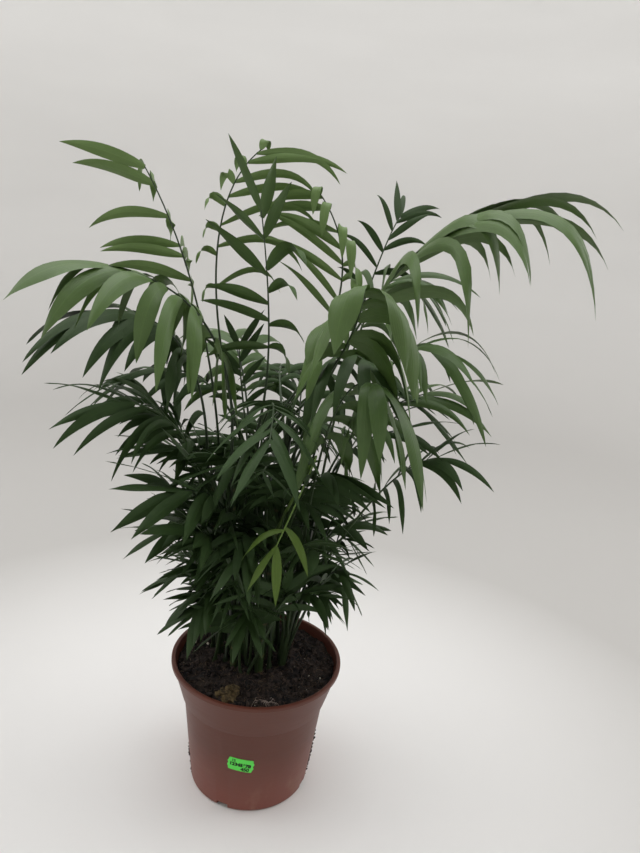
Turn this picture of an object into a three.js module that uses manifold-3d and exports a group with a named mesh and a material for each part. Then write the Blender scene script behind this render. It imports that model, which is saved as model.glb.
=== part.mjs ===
// Parlour palm in its plastic nursery pot: pot, potting soil, price sticker, canes and fronds.
// Millimetres, +Z up, origin at the middle of the pot's underside. -Y is the front.
import * as THREE from 'three';
import { mergeVertices } from 'three/addons/utils/BufferGeometryUtils.js';
import Module from 'manifold-3d';

const wasm = await Module();
wasm.setup();

const { degToRad, radToDeg, lerp } = THREE.MathUtils;

// ---------------------------------------------------------------- driving dimensions
const GAP = 0.3; // between pieces that touch
const OWN_GAP = 0.05; // between the leaflets of one frond
const WELD = 1e-4; // points closer than this are one point
const UP = new THREE.Vector3(0, 0, 1);
const EAST = new THREE.Vector3(1, 0, 0);

const POT = {
  height: 137,
  rimRadius: 85,
  rimRound: 1.2,
  lipHeight: 4,
  lipRound: 0.8,
  collarTopRadius: 83,
  collarFootRadius: 73,
  collarFootHeight: 97,
  stepRise: 1,
  bodyTopRadius: 71,
  baseRadius: 60.5,
  footRound: 3,
  wall: 2,
  sides: 40,
};

// Notches round the foot of the pot, where the floor meets the wall.
const DRAIN = { count: 4, heading: -113, width: 12, height: 5.5, depth: 9, proud: 1.5 };

const SOIL = {
  level: 126,
  edgeLevel: 125,
  flatRadius: 58,
  slopeRadii: [73, 66],
  slope: 0.04,
  lumpHeight: 2.5,
  lumpPitches: [20, 17],
  footInset: 0.5,
};

const STICKER = {
  width: 26,
  height: 15,
  thickness: 0.5,
  lift: 0.4,
  heading: -96.8,
  middle: 60,
  tilt: -6,
  columns: 8,
};

// The canes stand in two rings round the middle of the clump.
const CLUMP = new THREE.Vector3(-4, 18, 0);
const CANE_RINGS = [
  { heading: 12, radius: 34, lean: 5.5, lengths: [150, 120, 175, 140, 190, 215, 165, 130] },
  { heading: 40, radius: 14, lean: 2, lengths: [255, 230, 240, 205] },
];
const CANE = { footRadius: 3.4, tipRadius: 2.3, sides: 6, steps: 3 };

// A rib is turned about its cane, a step at a time to either hand, until it passes the other limbs.
const RIB = {
  footRadius: 1.7,
  tipRadius: 0.9,
  stalkSteps: 4,
  lastPair: 0.985,
  rootLength: 3.2,
  samples: 96,
  clearance: 1.3,
  turnStep: 6,
  turnTries: 41,
  seatPasses: 3,
  seatReach: 5,
};

// Shares are of the leaflet's own length or width, from the first pair of a frond to its last.
const LEAFLET = {
  thickness: 0.013,
  leastThickness: 0.9,
  steps: 8,
  stations: [3, 6],
  droopingStations: [2, 4, 6],
  droopingFrom: 1.25,
  cant: 24,
  widestAt: 0.72,
  fullness: 0.8,
  firstLength: 0.8,
  lengthSwell: 0.6,
  firstWidth: 0.85,
  widthSwell: 0.35,
  lastDroop: 0.55,
  droopPull: 1.6,
  bendPower: 1.2,
  rootShare: 0.04,
  jitter: { length: 0.1, angle: 5, droop: 0.2 },
  tries: [[0, 1], [6, 1], [-6, 1], [12, 1], [-12, 0.9], [18, 0.9], [0, 0.7], [20, 0.7], [-20, 0.6]],
};

// Each frond leaves its cane at a share of the cane's length, passes through mid half way and ends at tip.
// bare is the share of its length that carries no leaflets, leaf the longest leaflet's length and width,
// spread the leaflets' angle to the rib at the first pair and the last, end the last pair's share of length,
// across the compass heading of the blade's right side, lift the angle that the leaflets rise from the blade.
const FROND = { lift: 8, spread: [62, 24], end: 0.96 };
const FRONDS = [
  { name: 'left_arch', cane: 5, at: 0.99, mid: [-55, -55, 465], tip: [-133, -85, 515],
    bare: 0.5, pairs: 7, leaf: [86, 15], droop: 1.3, lift: 5, spread: [70, 20] },
  { name: 'left_back', cane: 4, at: 0.99, mid: [-84, 5, 430], tip: [-158, 0, 458],
    bare: 0.45, pairs: 7, leaf: [78, 12], droop: 1.3, lift: 0 },
  { name: 'left_upright', cane: 3, at: 0.98, mid: [-70, 20, 455], tip: [-125, 30, 590],
    bare: 0.64, pairs: 6, leaf: [92, 11], droop: 0.3, lift: -40, spread: [62, 36], across: 40, end: 0.7 },
  { name: 'centre_upright', cane: 10, at: 0.99, mid: [-10, 0, 450], tip: [-25, 5, 570],
    bare: 0.55, pairs: 6, leaf: [68, 11], droop: 0.5, lift: 30, across: -30 },
  { name: 'centre_back', cane: 2, at: 0.99, mid: [-65, 45, 498], tip: [-34, 60, 584],
    bare: 0.46, pairs: 7, leaf: [88, 12], droop: 1.3, lift: 20, spread: [64, 34], across: 20 },
  { name: 'centre_right', cane: 9, at: 0.99, mid: [50, 30, 490], tip: [24, 40, 588],
    bare: 0.5, pairs: 7, leaf: [88, 13], droop: 0.9, lift: 35, spread: [64, 38], across: -35, end: 0.5 },
  { name: 'back_right', cane: 1, at: 0.98, mid: [76, 72, 478], tip: [112, 105, 578],
    bare: 0.5, pairs: 7, leaf: [48, 7], droop: 0.5, across: -10 },
  { name: 'right_arch', cane: 11, at: 0.99, mid: [85, -20, 515], tip: [158, -58, 580],
    bare: 0.46, pairs: 8, leaf: [130, 16], droop: 1.8, spread: [64, 16] },
  { name: 'front_arch', cane: 8, at: 0.99, mid: [47, -70, 456], tip: [53, -150, 518],
    bare: 0.6, pairs: 6, leaf: [85, 19], droop: 1.7, spread: [78, 24] },
  { name: 'front_low', cane: 7, at: 0.99, mid: [46, -68, 402], tip: [70, -125, 450],
    bare: 0.45, pairs: 6, leaf: [98, 17], droop: 2.4, spread: [80, 26] },
  { name: 'right_mid', cane: 7, at: 0.8, mid: [82, -40, 425], tip: [126, -70, 467],
    bare: 0.5, pairs: 7, leaf: [82, 13], droop: 1.4, spread: [62, 16] },
  { name: 'right_under', cane: 0, at: 0.98, mid: [71, 0, 370], tip: [136, -10, 422],
    bare: 0.5, pairs: 7, leaf: [74, 10], droop: 1.2 },
  { name: 'right_low', cane: 7, at: 0.5, mid: [94, -30, 323], tip: [144, -55, 376],
    bare: 0.5, pairs: 7, leaf: [62, 7.5], droop: 1.0 },
  { name: 'left_low', cane: 4, at: 0.7, mid: [-79, -10, 361], tip: [-130, -40, 400],
    bare: 0.45, pairs: 8, leaf: [70, 9], droop: 1.2, lift: -5 },
  { name: 'left_broad', cane: 5, at: 0.6, mid: [-41, -40, 313], tip: [-74, -70, 335],
    bare: 0.3, pairs: 6, leaf: [72, 16], droop: 0.5, spread: [62, 18] },
  { name: 'left_broad_low', cane: 5, at: 0.4, mid: [-36, -40, 265], tip: [-64, -70, 301],
    bare: 0.3, pairs: 6, leaf: [66, 13], droop: 0.6, spread: [62, 18] },
  { name: 'left_thin', cane: 4, at: 0.2, mid: [-55, -20, 236], tip: [-79, -25, 239],
    bare: 0.4, pairs: 6, leaf: [42, 5.5], droop: 0.4 },
  { name: 'left_foot', cane: 3, at: 0.2, mid: [-45, -10, 212], tip: [-68, -20, 214],
    bare: 0.3, pairs: 6, leaf: [45, 9], droop: 0.7 },
  { name: 'right_foot', cane: 7, at: 0.2, mid: [60, -10, 230], tip: [78, -20, 236],
    bare: 0.3, pairs: 6, leaf: [45, 7], droop: 1.0 },
  { name: 'right_thin', cane: 0, at: 0.4, mid: [66, 10, 290], tip: [85, 20, 297],
    bare: 0.3, pairs: 6, leaf: [35, 6], droop: 0.2 },
  { name: 'right_small', cane: 0, at: 0.25, mid: [64, 10, 252], tip: [85, 10, 259],
    bare: 0.3, pairs: 6, leaf: [35, 6], droop: 0.8 },
  { name: 'centre_small', cane: 6, at: 0.7, mid: [-24, 1, 375], tip: [-34, 10, 448],
    bare: 0.6, pairs: 4, leaf: [38, 7], droop: 0.3, lift: 10, across: 0 },
  { name: 'young', cane: 6, at: 0.99, mid: [35, -68, 338], tip: [14, -95, 306],
    bare: 0.7, pairs: 4, leaf: [44, 8], droop: 0.9, lift: 0 },
];

// Short fronds from the outer canes, one low and one half way up, that fill the foot of the clump.
const SHORT = {
  seed: 77,
  suffixes: ['a', 'b'],
  shares: [0.3, 0.62],
  turns: [-20, 25],
  turnJitter: 10,
  reaches: [82, 100],
  frontReach: 0.9,
  reachJitter: 8,
  midShare: 0.35,
  heights: [215, 290],
  heightJitter: 15,
  rise: 14,
  leaves: [[44, 9], [52, 10]],
  bare: 0.35,
  pairs: 6,
  droop: 0.8,
};

// One longer frond from each inner cane.
const INNER = {
  heading: 85,
  share: 0.9,
  reach: 145,
  midReach: 68,
  height: 400,
  rise: 10,
  leaf: [70, 11],
  bare: 0.4,
  pairs: 7,
  droop: 1,
};

const MATERIALS = {
  pot: { color: 0x8a4a38, roughness: 0.6, metalness: 0 },
  soil: { color: 0x2b2019, roughness: 1, metalness: 0 },
  sticker: { color: 0x53e03c, roughness: 0.7, metalness: 0 },
  cane: { color: 0x4d6b3a, roughness: 0.6, metalness: 0 },
  frond: { color: 0x2f5a2c, roughness: 0.55, metalness: 0 },
  young: { color: 0x6f9a3a, roughness: 0.55, metalness: 0 },
};

// ---------------------------------------------------------------- small helpers
// Park and Miller's generator: the same seed always grows the same plant.
function randomFrom(seed) {
  const modulus = 2147483647;
  let state = (seed * 7919 + 12345) % modulus;
  const next = () => {
    state = (state * 16807) % modulus;
    return state / modulus;
  };
  return { spread: (half) => (2 * next() - 1) * half };
}

function polar(heading, reach, height = 0) {
  const angle = degToRad(heading);
  return new THREE.Vector3(reach * Math.cos(angle), reach * Math.sin(angle), height);
}

// The part of v that is square to direction, at unit length.
function squareTo(v, direction) {
  return v.clone().addScaledVector(direction, -v.dot(direction)).normalize();
}

// From a first value to a last one, raised by a hump in between.
function swelling(first, last, swell, share) {
  return lerp(first, last, share) + swell * share * (1 - share);
}

function dropFlatTriangles(index) {
  const kept = [];
  for (let i = 0; i < index.length; i += 3) {
    const [a, b, c] = index.slice(i, i + 3);
    if (a !== b && b !== c && c !== a) kept.push(a, b, c);
  }
  return new Uint32Array(kept);
}

// Turns a closed geometry into a solid that can be joined and cut.
function solidOf(geometry) {
  const bare = geometry.clone();
  bare.deleteAttribute('normal');
  bare.deleteAttribute('uv');
  const merged = mergeVertices(bare, WELD);
  return new wasm.Manifold(new wasm.Mesh({
    numProp: 3,
    vertProperties: merged.attributes.position.array,
    triVerts: dropFlatTriangles(Array.from(merged.index.array)),
  }));
}

function geometryOf(solid) {
  const { vertProperties, triVerts } = solid.getMesh();
  const geometry = new THREE.BufferGeometry();
  geometry.setAttribute('position', new THREE.BufferAttribute(vertProperties, 3));
  geometry.setIndex(new THREE.BufferAttribute(triVerts, 1));
  geometry.computeVertexNormals();
  return geometry;
}

// Two triangles over four corners, folded outwards where the four aren't level, so a thin blade that
// twists never folds through itself.
function foldedOut(a, b, c, d) {
  const normal = b.clone().sub(a).cross(c.clone().sub(a));
  const rises = d.clone().sub(a).dot(normal) > 0;
  return rises ? [[a, b, d], [b, c, d]] : [[a, b, c], [a, c, d]];
}

// Triangles over rings of points that run anticlockwise as seen from the far end; a ring of one is a tip.
function skin(rings) {
  const triangles = [];
  rings.slice(0, -1).forEach((ring, k) => {
    const next = rings[k + 1];
    for (let i = 0; i < ring.length; i++) {
      const j = (i + 1) % ring.length;
      if (next.length === 1) {
        triangles.push([ring[i], ring[j], next[0]]);
      } else {
        triangles.push(...foldedOut(ring[i], ring[j], next[j], next[i]));
      }
    }
  });
  return triangles;
}

function fan(ring) {
  return ring.slice(2).map((_, i) => [ring[0], ring[i + 1], ring[i + 2]]);
}

function geometryFrom(triangles) {
  const geometry = new THREE.BufferGeometry();
  const values = triangles.flat().flatMap((p) => p.toArray());
  geometry.setAttribute('position', new THREE.Float32BufferAttribute(values, 3));
  const merged = mergeVertices(geometry, WELD);
  merged.computeVertexNormals();
  return merged;
}

// A closed skin over the rings, with flat ends.
function loft(rings) {
  const foot = fan([...rings[0]].reverse());
  return geometryFrom([...foot, ...skin(rings), ...fan(rings.at(-1))]);
}

// The corners of a many-sided section of a limb, anticlockwise as seen from its far end.
function section(point, tangent, radius, sides, rightAt) {
  const right = squareTo(rightAt, tangent);
  const upper = right.clone().cross(tangent);
  return Array.from({ length: sides }, (_, i) => {
    const angle = (2 * Math.PI * (i + 0.5)) / sides;
    return point.clone()
      .addScaledVector(upper, radius * Math.cos(angle))
      .addScaledVector(right, radius * Math.sin(angle));
  });
}

function lathe(profile) {
  const points = profile.map(([r, z]) => new THREE.Vector2(r, z));
  return new THREE.LatheGeometry(points, POT.sides).rotateX(Math.PI / 2);
}

const object = new THREE.Group();

function addMesh(name, geometry, material) {
  const mesh = new THREE.Mesh(geometry, new THREE.MeshStandardMaterial(MATERIALS[material]));
  mesh.name = name;
  object.add(mesh);
}

// ---------------------------------------------------------------- pot
function wallRadius(height) {
  return lerp(POT.baseRadius, POT.bodyTopRadius, height / POT.collarFootHeight);
}

function collarRadius(height) {
  const share = (height - POT.collarFootHeight) / (POT.height - POT.lipHeight - POT.collarFootHeight);
  return lerp(POT.collarFootRadius, POT.collarTopRadius, share);
}

function potSolid() {
  const { height, rimRadius, rimRound, collarFootHeight, stepRise, baseRadius, footRound, wall } = POT;
  const lipFoot = height - POT.lipHeight;
  const outside = [
    [0, 0],
    [baseRadius - footRound, 0],
    [baseRadius - footRound / 4, footRound / 4],
    [wallRadius(footRound), footRound],
    [wallRadius(collarFootHeight), collarFootHeight],
    [collarRadius(collarFootHeight), collarFootHeight + stepRise],
    [collarRadius(lipFoot), lipFoot],
    [rimRadius - POT.lipRound, lipFoot],
    [rimRadius, lipFoot + POT.lipRound],
    [rimRadius, height - rimRound],
    [rimRadius - rimRound, height],
  ];
  const inside = [
    [collarRadius(lipFoot) - wall, height],
    [collarRadius(lipFoot) - wall, lipFoot],
    [collarRadius(collarFootHeight) - wall, collarFootHeight + stepRise],
    [wallRadius(collarFootHeight) - wall, collarFootHeight - stepRise],
    [wallRadius(wall) - wall, wall],
    [0, wall],
  ];
  return solidOf(lathe([...outside, ...inside]));
}

function drainCutters() {
  return Array.from({ length: DRAIN.count }, (_, i) => {
    const heading = DRAIN.heading + (360 * i) / DRAIN.count;
    const middle = polar(heading, POT.baseRadius + DRAIN.proud - DRAIN.depth / 2);
    const box = new THREE.BoxGeometry(DRAIN.depth, DRAIN.width, 2 * DRAIN.height);
    box.rotateZ(degToRad(heading)).translate(...middle.toArray());
    return solidOf(box);
  });
}

// ---------------------------------------------------------------- soil
function soilLump(x, y) {
  const [pitchX, pitchY] = SOIL.lumpPitches;
  return SOIL.lumpHeight * Math.sin((2 * Math.PI * x) / pitchX) * Math.cos((2 * Math.PI * y) / pitchY);
}

// The soil fills the pot, is flat where the canes stand and falls in lumps to the pot's wall.
function soilSolid() {
  const clear = POT.wall + GAP;
  const { level, edgeLevel, flatRadius } = SOIL;
  const { collarFootHeight, stepRise } = POT;
  const heap = lathe([
    [0, clear],
    [wallRadius(clear) - clear - SOIL.footInset, clear],
    [wallRadius(collarFootHeight - stepRise) - clear, collarFootHeight - stepRise / 2],
    [collarRadius(collarFootHeight + 2 * stepRise) - clear, collarFootHeight + 2 * stepRise],
    [collarRadius(edgeLevel) - clear, edgeLevel],
    ...SOIL.slopeRadii.map((radius) => [radius, level - SOIL.slope * (radius - flatRadius)]),
    [flatRadius, level],
    [0, level],
  ]);
  const place = heap.attributes.position;
  for (let i = 0; i < place.count; i++) {
    const [x, y, z] = [place.getX(i), place.getY(i), place.getZ(i)];
    const onSlope = z > edgeLevel + WELD && Math.hypot(x, y) > flatRadius + WELD;
    if (onSlope) place.setZ(i, z + soilLump(x, y));
  }
  return solidOf(heap);
}

// ---------------------------------------------------------------- price sticker, curved round the wall
function stickerGeometry() {
  const { width, height, thickness, lift, heading, middle, tilt, columns } = STICKER;
  const plate = new THREE.BoxGeometry(width, height, thickness, columns, 1, 1);
  plate.rotateZ(degToRad(tilt));
  const place = plate.attributes.position;
  for (let i = 0; i < place.count; i++) {
    const z = middle + place.getY(i);
    const reach = wallRadius(z) + lift + thickness / 2 + place.getZ(i);
    const turn = radToDeg(place.getX(i) / wallRadius(middle));
    place.setXYZ(i, ...polar(heading + turn, reach, z).toArray());
  }
  return geometryOf(solidOf(plate));
}

// ---------------------------------------------------------------- canes
function caneAxes() {
  return CANE_RINGS.flatMap((ring) => ring.lengths.map((length, i) => {
    const heading = ring.heading + (360 * i) / ring.lengths.length;
    const foot = polar(heading, ring.radius, SOIL.level + GAP).add(CLUMP);
    const lean = degToRad(ring.lean);
    return { foot, heading, length, direction: polar(heading, Math.sin(lean), Math.cos(lean)) };
  }));
}

function caneRadius(share) {
  return lerp(CANE.footRadius, CANE.tipRadius, share);
}

function canePoint(cane, share) {
  return cane.foot.clone().addScaledVector(cane.direction, share * cane.length);
}

// The foot is cut level with the soil, so its first section is flat.
function caneGeometry(cane) {
  const rings = [];
  for (let k = 0; k <= CANE.steps; k++) {
    const share = k / CANE.steps;
    const normal = k === 0 ? UP : cane.direction;
    rings.push(section(canePoint(cane, share), normal, caneRadius(share), CANE.sides, EAST));
  }
  return loft(rings);
}

// ---------------------------------------------------------------- where the fronds go
function shortFronds(canes) {
  const random = randomFrom(SHORT.seed);
  return canes.slice(0, CANE_RINGS[0].lengths.length).flatMap((cane, c) => SHORT.shares.map((at, k) => {
    const heading = cane.heading + SHORT.turns[k] + random.spread(SHORT.turnJitter);
    const front = Math.max(0, -Math.sin(degToRad(heading)));
    const reach = (SHORT.reaches[k] + random.spread(SHORT.reachJitter)) * lerp(1, SHORT.frontReach, front);
    const height = SHORT.heights[k] + random.spread(SHORT.heightJitter);
    const root = canePoint(cane, at).sub(CLUMP);
    const middle = (root.z + height) / 2 + SHORT.rise;
    const midReach = lerp(Math.hypot(root.x, root.y), reach, SHORT.midShare);
    return {
      name: `short_${c + 1}${SHORT.suffixes[k]}`,
      cane: c,
      at,
      mid: polar(heading, midReach, middle).add(CLUMP).toArray(),
      tip: polar(heading, reach, height).add(CLUMP).toArray(),
      bare: SHORT.bare,
      pairs: SHORT.pairs,
      leaf: SHORT.leaves[k],
      droop: SHORT.droop,
    };
  }));
}

function innerFronds(canes) {
  const first = CANE_RINGS[0].lengths.length;
  return canes.slice(first).map((_, i, inner) => {
    const heading = INNER.heading + (360 * i) / inner.length;
    return {
      name: `inner_${i + 1}`,
      cane: first + i,
      at: INNER.share,
      mid: polar(heading, INNER.midReach, INNER.height + INNER.rise).add(CLUMP).toArray(),
      tip: polar(heading, INNER.reach, INNER.height).add(CLUMP).toArray(),
      bare: INNER.bare,
      pairs: INNER.pairs,
      leaf: INNER.leaf,
      droop: INNER.droop,
    };
  });
}

// Fills in what a frond leaves unsaid: unless told otherwise its blade lies level across its heading.
function completed(frond, number) {
  const [dx, dy] = [frond.tip[0] - frond.mid[0], frond.tip[1] - frond.mid[1]];
  const across = radToDeg(Math.atan2(dy, dx)) - 90;
  return { ...FROND, across, seed: number + 1, ...frond };
}

// Where the rib leaves the side of its cane, if both were round.
function ribFoot(frond, cane) {
  const axis = canePoint(cane, frond.at);
  const away = new THREE.Vector3(...frond.mid).sub(axis).setZ(0).normalize();
  return axis.addScaledVector(away, caneRadius(frond.at) + GAP + RIB.footRadius);
}

// The rib is one quadratic curve from its foot through mid to tip.
function ribCurve(frond, foot) {
  const mid = new THREE.Vector3(...frond.mid);
  const tip = new THREE.Vector3(...frond.tip);
  const bend = mid.multiplyScalar(2).addScaledVector(foot, -0.5).addScaledVector(tip, -0.5);
  return new THREE.QuadraticBezierCurve3(foot, bend, tip);
}

function ribRadius(share) {
  return lerp(RIB.footRadius, RIB.tipRadius, share);
}

function turned(frond, cane, turn) {
  const spin = (place) => new THREE.Vector3(...place)
    .sub(cane.foot)
    .applyAxisAngle(UP, degToRad(turn))
    .add(cane.foot)
    .toArray();
  return { ...frond, mid: spin(frond.mid), tip: spin(frond.tip), across: frond.across + turn };
}

function limbSamples(pointAt, radiusAt) {
  return Array.from({ length: RIB.samples + 1 }, (_, k) => {
    const share = k / RIB.samples;
    return { point: pointAt(share), radius: radiusAt(share) };
  });
}

function limbsPass(some, others) {
  return some.every((a) => others.every((b) => {
    const room = a.radius + b.radius + RIB.clearance;
    return a.point.distanceTo(b.point) > room;
  }));
}

function settleRibs(fronds, canes) {
  const caneLimbs = canes.map((cane) => limbSamples((share) => canePoint(cane, share), caneRadius));
  const turnOf = (attempt) => RIB.turnStep * Math.ceil(attempt / 2) * (attempt % 2 ? 1 : -1);
  const turns = Array.from({ length: RIB.turnTries }, (_, attempt) => turnOf(attempt));
  const ribs = [];
  return fronds.map((frond) => {
    for (const turn of turns) {
      const candidate = turned(frond, canes[frond.cane], turn);
      const curve = ribCurve(candidate, ribFoot(candidate, canes[frond.cane]));
      const limb = limbSamples((share) => curve.getPoint(share), ribRadius);
      const others = [...caneLimbs.filter((_, c) => c !== frond.cane), ...ribs];
      if (others.every((other) => limbsPass(limb, other))) {
        ribs.push(limb);
        return { ...candidate, curve };
      }
    }
    throw new Error(`no room for the rib of ${frond.name}`);
  });
}

// ---------------------------------------------------------------- leaflets
// Width of a leaflet as a share of its widest, at a share of its length.
function outline(share) {
  return Math.sin(Math.PI * share ** LEAFLET.widestAt) ** LEAFLET.fullness;
}

// Where a leaflet starts out, and how long, wide and limp it is. q runs from the first pair to the last.
function leafletHabit(frond, q, side, tangent, draws, [turn, shorten]) {
  const right = squareTo(polar(frond.across, 1), tangent);
  const upper = right.clone().cross(tangent);
  const [first, last] = frond.spread;
  const angle = degToRad(lerp(first, last, q ** LEAFLET.bendPower) + draws.angle + turn);
  const lift = degToRad(frond.lift);
  const start = tangent.clone().multiplyScalar(Math.cos(angle))
    .addScaledVector(right, side * Math.sin(angle) * Math.cos(lift))
    .addScaledVector(upper, Math.sin(angle) * Math.sin(lift));
  const [fullLength, fullWidth] = frond.leaf;
  const lengthShare = swelling(LEAFLET.firstLength, frond.end, LEAFLET.lengthSwell, q);
  return {
    start,
    across: squareTo(tangent, start).applyAxisAngle(start, side * degToRad(LEAFLET.cant)),
    length: fullLength * lengthShare * (1 + draws.length) * shorten,
    width: fullWidth * swelling(LEAFLET.firstWidth, 1, LEAFLET.widthSwell, q),
    droop: frond.droop * (1 + draws.droop) * lerp(1, LEAFLET.lastDroop, q),
  };
}

// A leaflet's centre line from its root, with its width and the direction across it at each point.
function leafletLine(root, { start, across, length, width, droop }) {
  const line = [{ point: root }];
  for (let k = 1; k <= LEAFLET.steps; k++) {
    const pull = LEAFLET.droopPull * droop * ((k - 0.5) / LEAFLET.steps) ** LEAFLET.bendPower;
    const direction = start.clone().addScaledVector(UP, -pull).normalize();
    line.push({
      point: line[k - 1].point.clone().addScaledVector(direction, length / LEAFLET.steps),
      width: width * outline(k / LEAFLET.steps),
      across: squareTo(across, direction),
      direction,
    });
  }
  return line;
}

// A leaflet blade's rings: a keeled three-cornered section at a few stations, closed to a point at the tip.
function leafletRings(line, length, side, stations) {
  const thickness = Math.max(LEAFLET.leastThickness, LEAFLET.thickness * length);
  const rings = stations.map((k) => {
    const { point, width, across, direction } = line[k];
    const keel = point.clone().addScaledVector(direction.clone().cross(across), -side * thickness);
    const front = point.clone().addScaledVector(across, width / 2);
    const rear = point.clone().addScaledVector(across, -width / 2);
    return side > 0 ? [front, rear, keel] : [front, keel, rear];
  });
  rings.push([line.at(-1).point]);
  return rings;
}

const placed = [];

function remember(name, solid, isRib = false) {
  placed.push({ name, solid, box: solid.boundingBox(), isRib });
}

function boxesApart(a, b, room) {
  return [0, 1, 2].some((i) => a.min[i] > b.max[i] + room || b.min[i] > a.max[i] + room);
}

// Clear of every other piece by the gap, and of the rest of its own frond by a hair. The tail is the
// leaflet without its root, which may not come back to its own rib.
function isClear(name, solid, tail) {
  const box = solid.boundingBox();
  return placed.every((other) => {
    const own = other.name === name;
    const room = own ? OWN_GAP : GAP;
    const tested = own && other.isRib ? tail : solid;
    return boxesApart(box, other.box, room) || tested.minGap(other.solid, 2 * GAP) > room;
  });
}

// The rings of one leaflet that grows from a root triangle and touches nothing, or none if there is no room.
function growLeaflet(frond, q, side, root, draws) {
  const name = frondName(frond);
  const stations = frond.droop > LEAFLET.droopingFrom ? LEAFLET.droopingStations : LEAFLET.stations;
  for (const attempt of LEAFLET.tries) {
    const habit = leafletHabit(frond, q, side, root.tangent, draws, attempt);
    const rings = leafletRings(leafletLine(root.point, habit), habit.length, side, stations);
    const whole = solidOf(loft([root.triangle, ...rings]));
    const pastRoot = root.triangle.map((corner, i) => corner.clone().lerp(rings[0][i], LEAFLET.rootShare));
    if (isClear(name, whole, solidOf(loft([pastRoot, ...rings])))) {
      remember(name, whole);
      return rings;
    }
  }
  return null;
}

// ---------------------------------------------------------------- fronds
function frondName(frond) {
  return `frond_${frond.name}`;
}

// Sections of the rib: along the bare stalk, then at the two ends of each pair's root.
function ribSections(frond) {
  const { v0, v1, v2 } = frond.curve;
  const velocityAt = (share) => v1.clone().sub(v0).multiplyScalar(2 * (1 - share))
    .addScaledVector(v2.clone().sub(v1), 2 * share);
  const stations = [];
  for (let k = 0; k < RIB.stalkSteps; k++) stations.push({ share: (frond.bare * k) / RIB.stalkSteps });
  for (let pair = 0; pair < frond.pairs; pair++) {
    const share = lerp(frond.bare, RIB.lastPair, pair / (frond.pairs - 1));
    stations.push({ share, pair }, { share: share + RIB.rootLength / velocityAt(share).length() });
  }
  return stations.map(({ share, pair }) => {
    const point = frond.curve.getPoint(share);
    const tangent = velocityAt(share).normalize();
    const corners = section(point, tangent, ribRadius(share), 3, polar(frond.across, 1));
    return { pair, tangent, corners };
  });
}

function ribSolid(frond) {
  return solidOf(loft(ribSections(frond).map(({ corners }) => corners)));
}

// Moves the rib's foot along the line to its cane until the two pieces are one gap apart.
function seatRib(frond, cane, caneSolid) {
  let seated = frond;
  for (let pass = 0; pass < RIB.seatPasses; pass++) {
    const foot = seated.curve.v0;
    const spare = ribSolid(seated).minGap(caneSolid, RIB.seatReach) - GAP;
    const toCane = canePoint(cane, frond.at).sub(foot).normalize();
    seated = { ...seated, curve: ribCurve(frond, foot.clone().addScaledVector(toCane, spare)) };
  }
  return seated;
}

// One skin for rib and leaflets: each leaflet grows out of a triangle of the rib's right or left lower face.
function frondGeometry(frond) {
  const random = randomFrom(frond.seed);
  const { length, angle, droop } = LEAFLET.jitter;
  const sections = ribSections(frond);
  const triangles = [];
  sections.slice(0, -1).forEach(({ pair, tangent, corners }, k) => {
    const next = sections[k + 1].corners;
    const faces = [0, 1, 2].map((i) => {
      const j = (i + 1) % 3;
      return [[corners[i], corners[j], next[j]], [corners[i], next[j], next[i]]];
    });
    const sides = pair === undefined ? [] : [1, -1];
    for (const side of sides) {
      const draws = {
        length: random.spread(length),
        angle: random.spread(angle),
        droop: random.spread(droop),
      };
      const upperEdge = side > 0 ? 0 : 2;
      const point = corners[upperEdge].clone().add(next[upperEdge]).multiplyScalar(0.5);
      const triangle = side > 0 ? [next[0], corners[0], next[1]] : [next[2], corners[1], corners[2]];
      const rings = growLeaflet(frond, pair / (frond.pairs - 1), side, { point, tangent, triangle }, draws);
      if (rings) {
        const face = side > 0 ? faces[0] : faces[1];
        face.splice(side > 0 ? 1 : 0, 1, ...skin([triangle, ...rings]));
      }
    }
    triangles.push(...faces.flat());
  });
  triangles.push([...sections[0].corners].reverse(), sections.at(-1).corners);
  return geometryFrom(triangles);
}

// ---------------------------------------------------------------- assembly
const pot = drainCutters().reduce((shell, cutter) => shell.subtract(cutter), potSolid());
remember('pot', pot);
addMesh('pot', geometryOf(pot), 'pot');

const soil = soilSolid();
remember('soil', soil);
addMesh('soil', geometryOf(soil), 'soil');

addMesh('price_sticker', stickerGeometry(), 'sticker');

const canes = caneAxes();
const caneSolids = canes.map((cane, i) => {
  const name = `cane_${i + 1}`;
  const geometry = caneGeometry(cane);
  const solid = solidOf(geometry);
  remember(name, solid);
  addMesh(name, geometry, 'cane');
  return solid;
});

const planned = [...FRONDS, ...innerFronds(canes), ...shortFronds(canes)].map(completed);
const fronds = settleRibs(planned, canes)
  .map((frond) => seatRib(frond, canes[frond.cane], caneSolids[frond.cane]));
fronds.forEach((frond) => remember(frondName(frond), ribSolid(frond), true));
fronds.forEach((frond) => {
  addMesh(frondName(frond), frondGeometry(frond), frond.name === 'young' ? 'young' : 'frond');
});

export default object;
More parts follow.
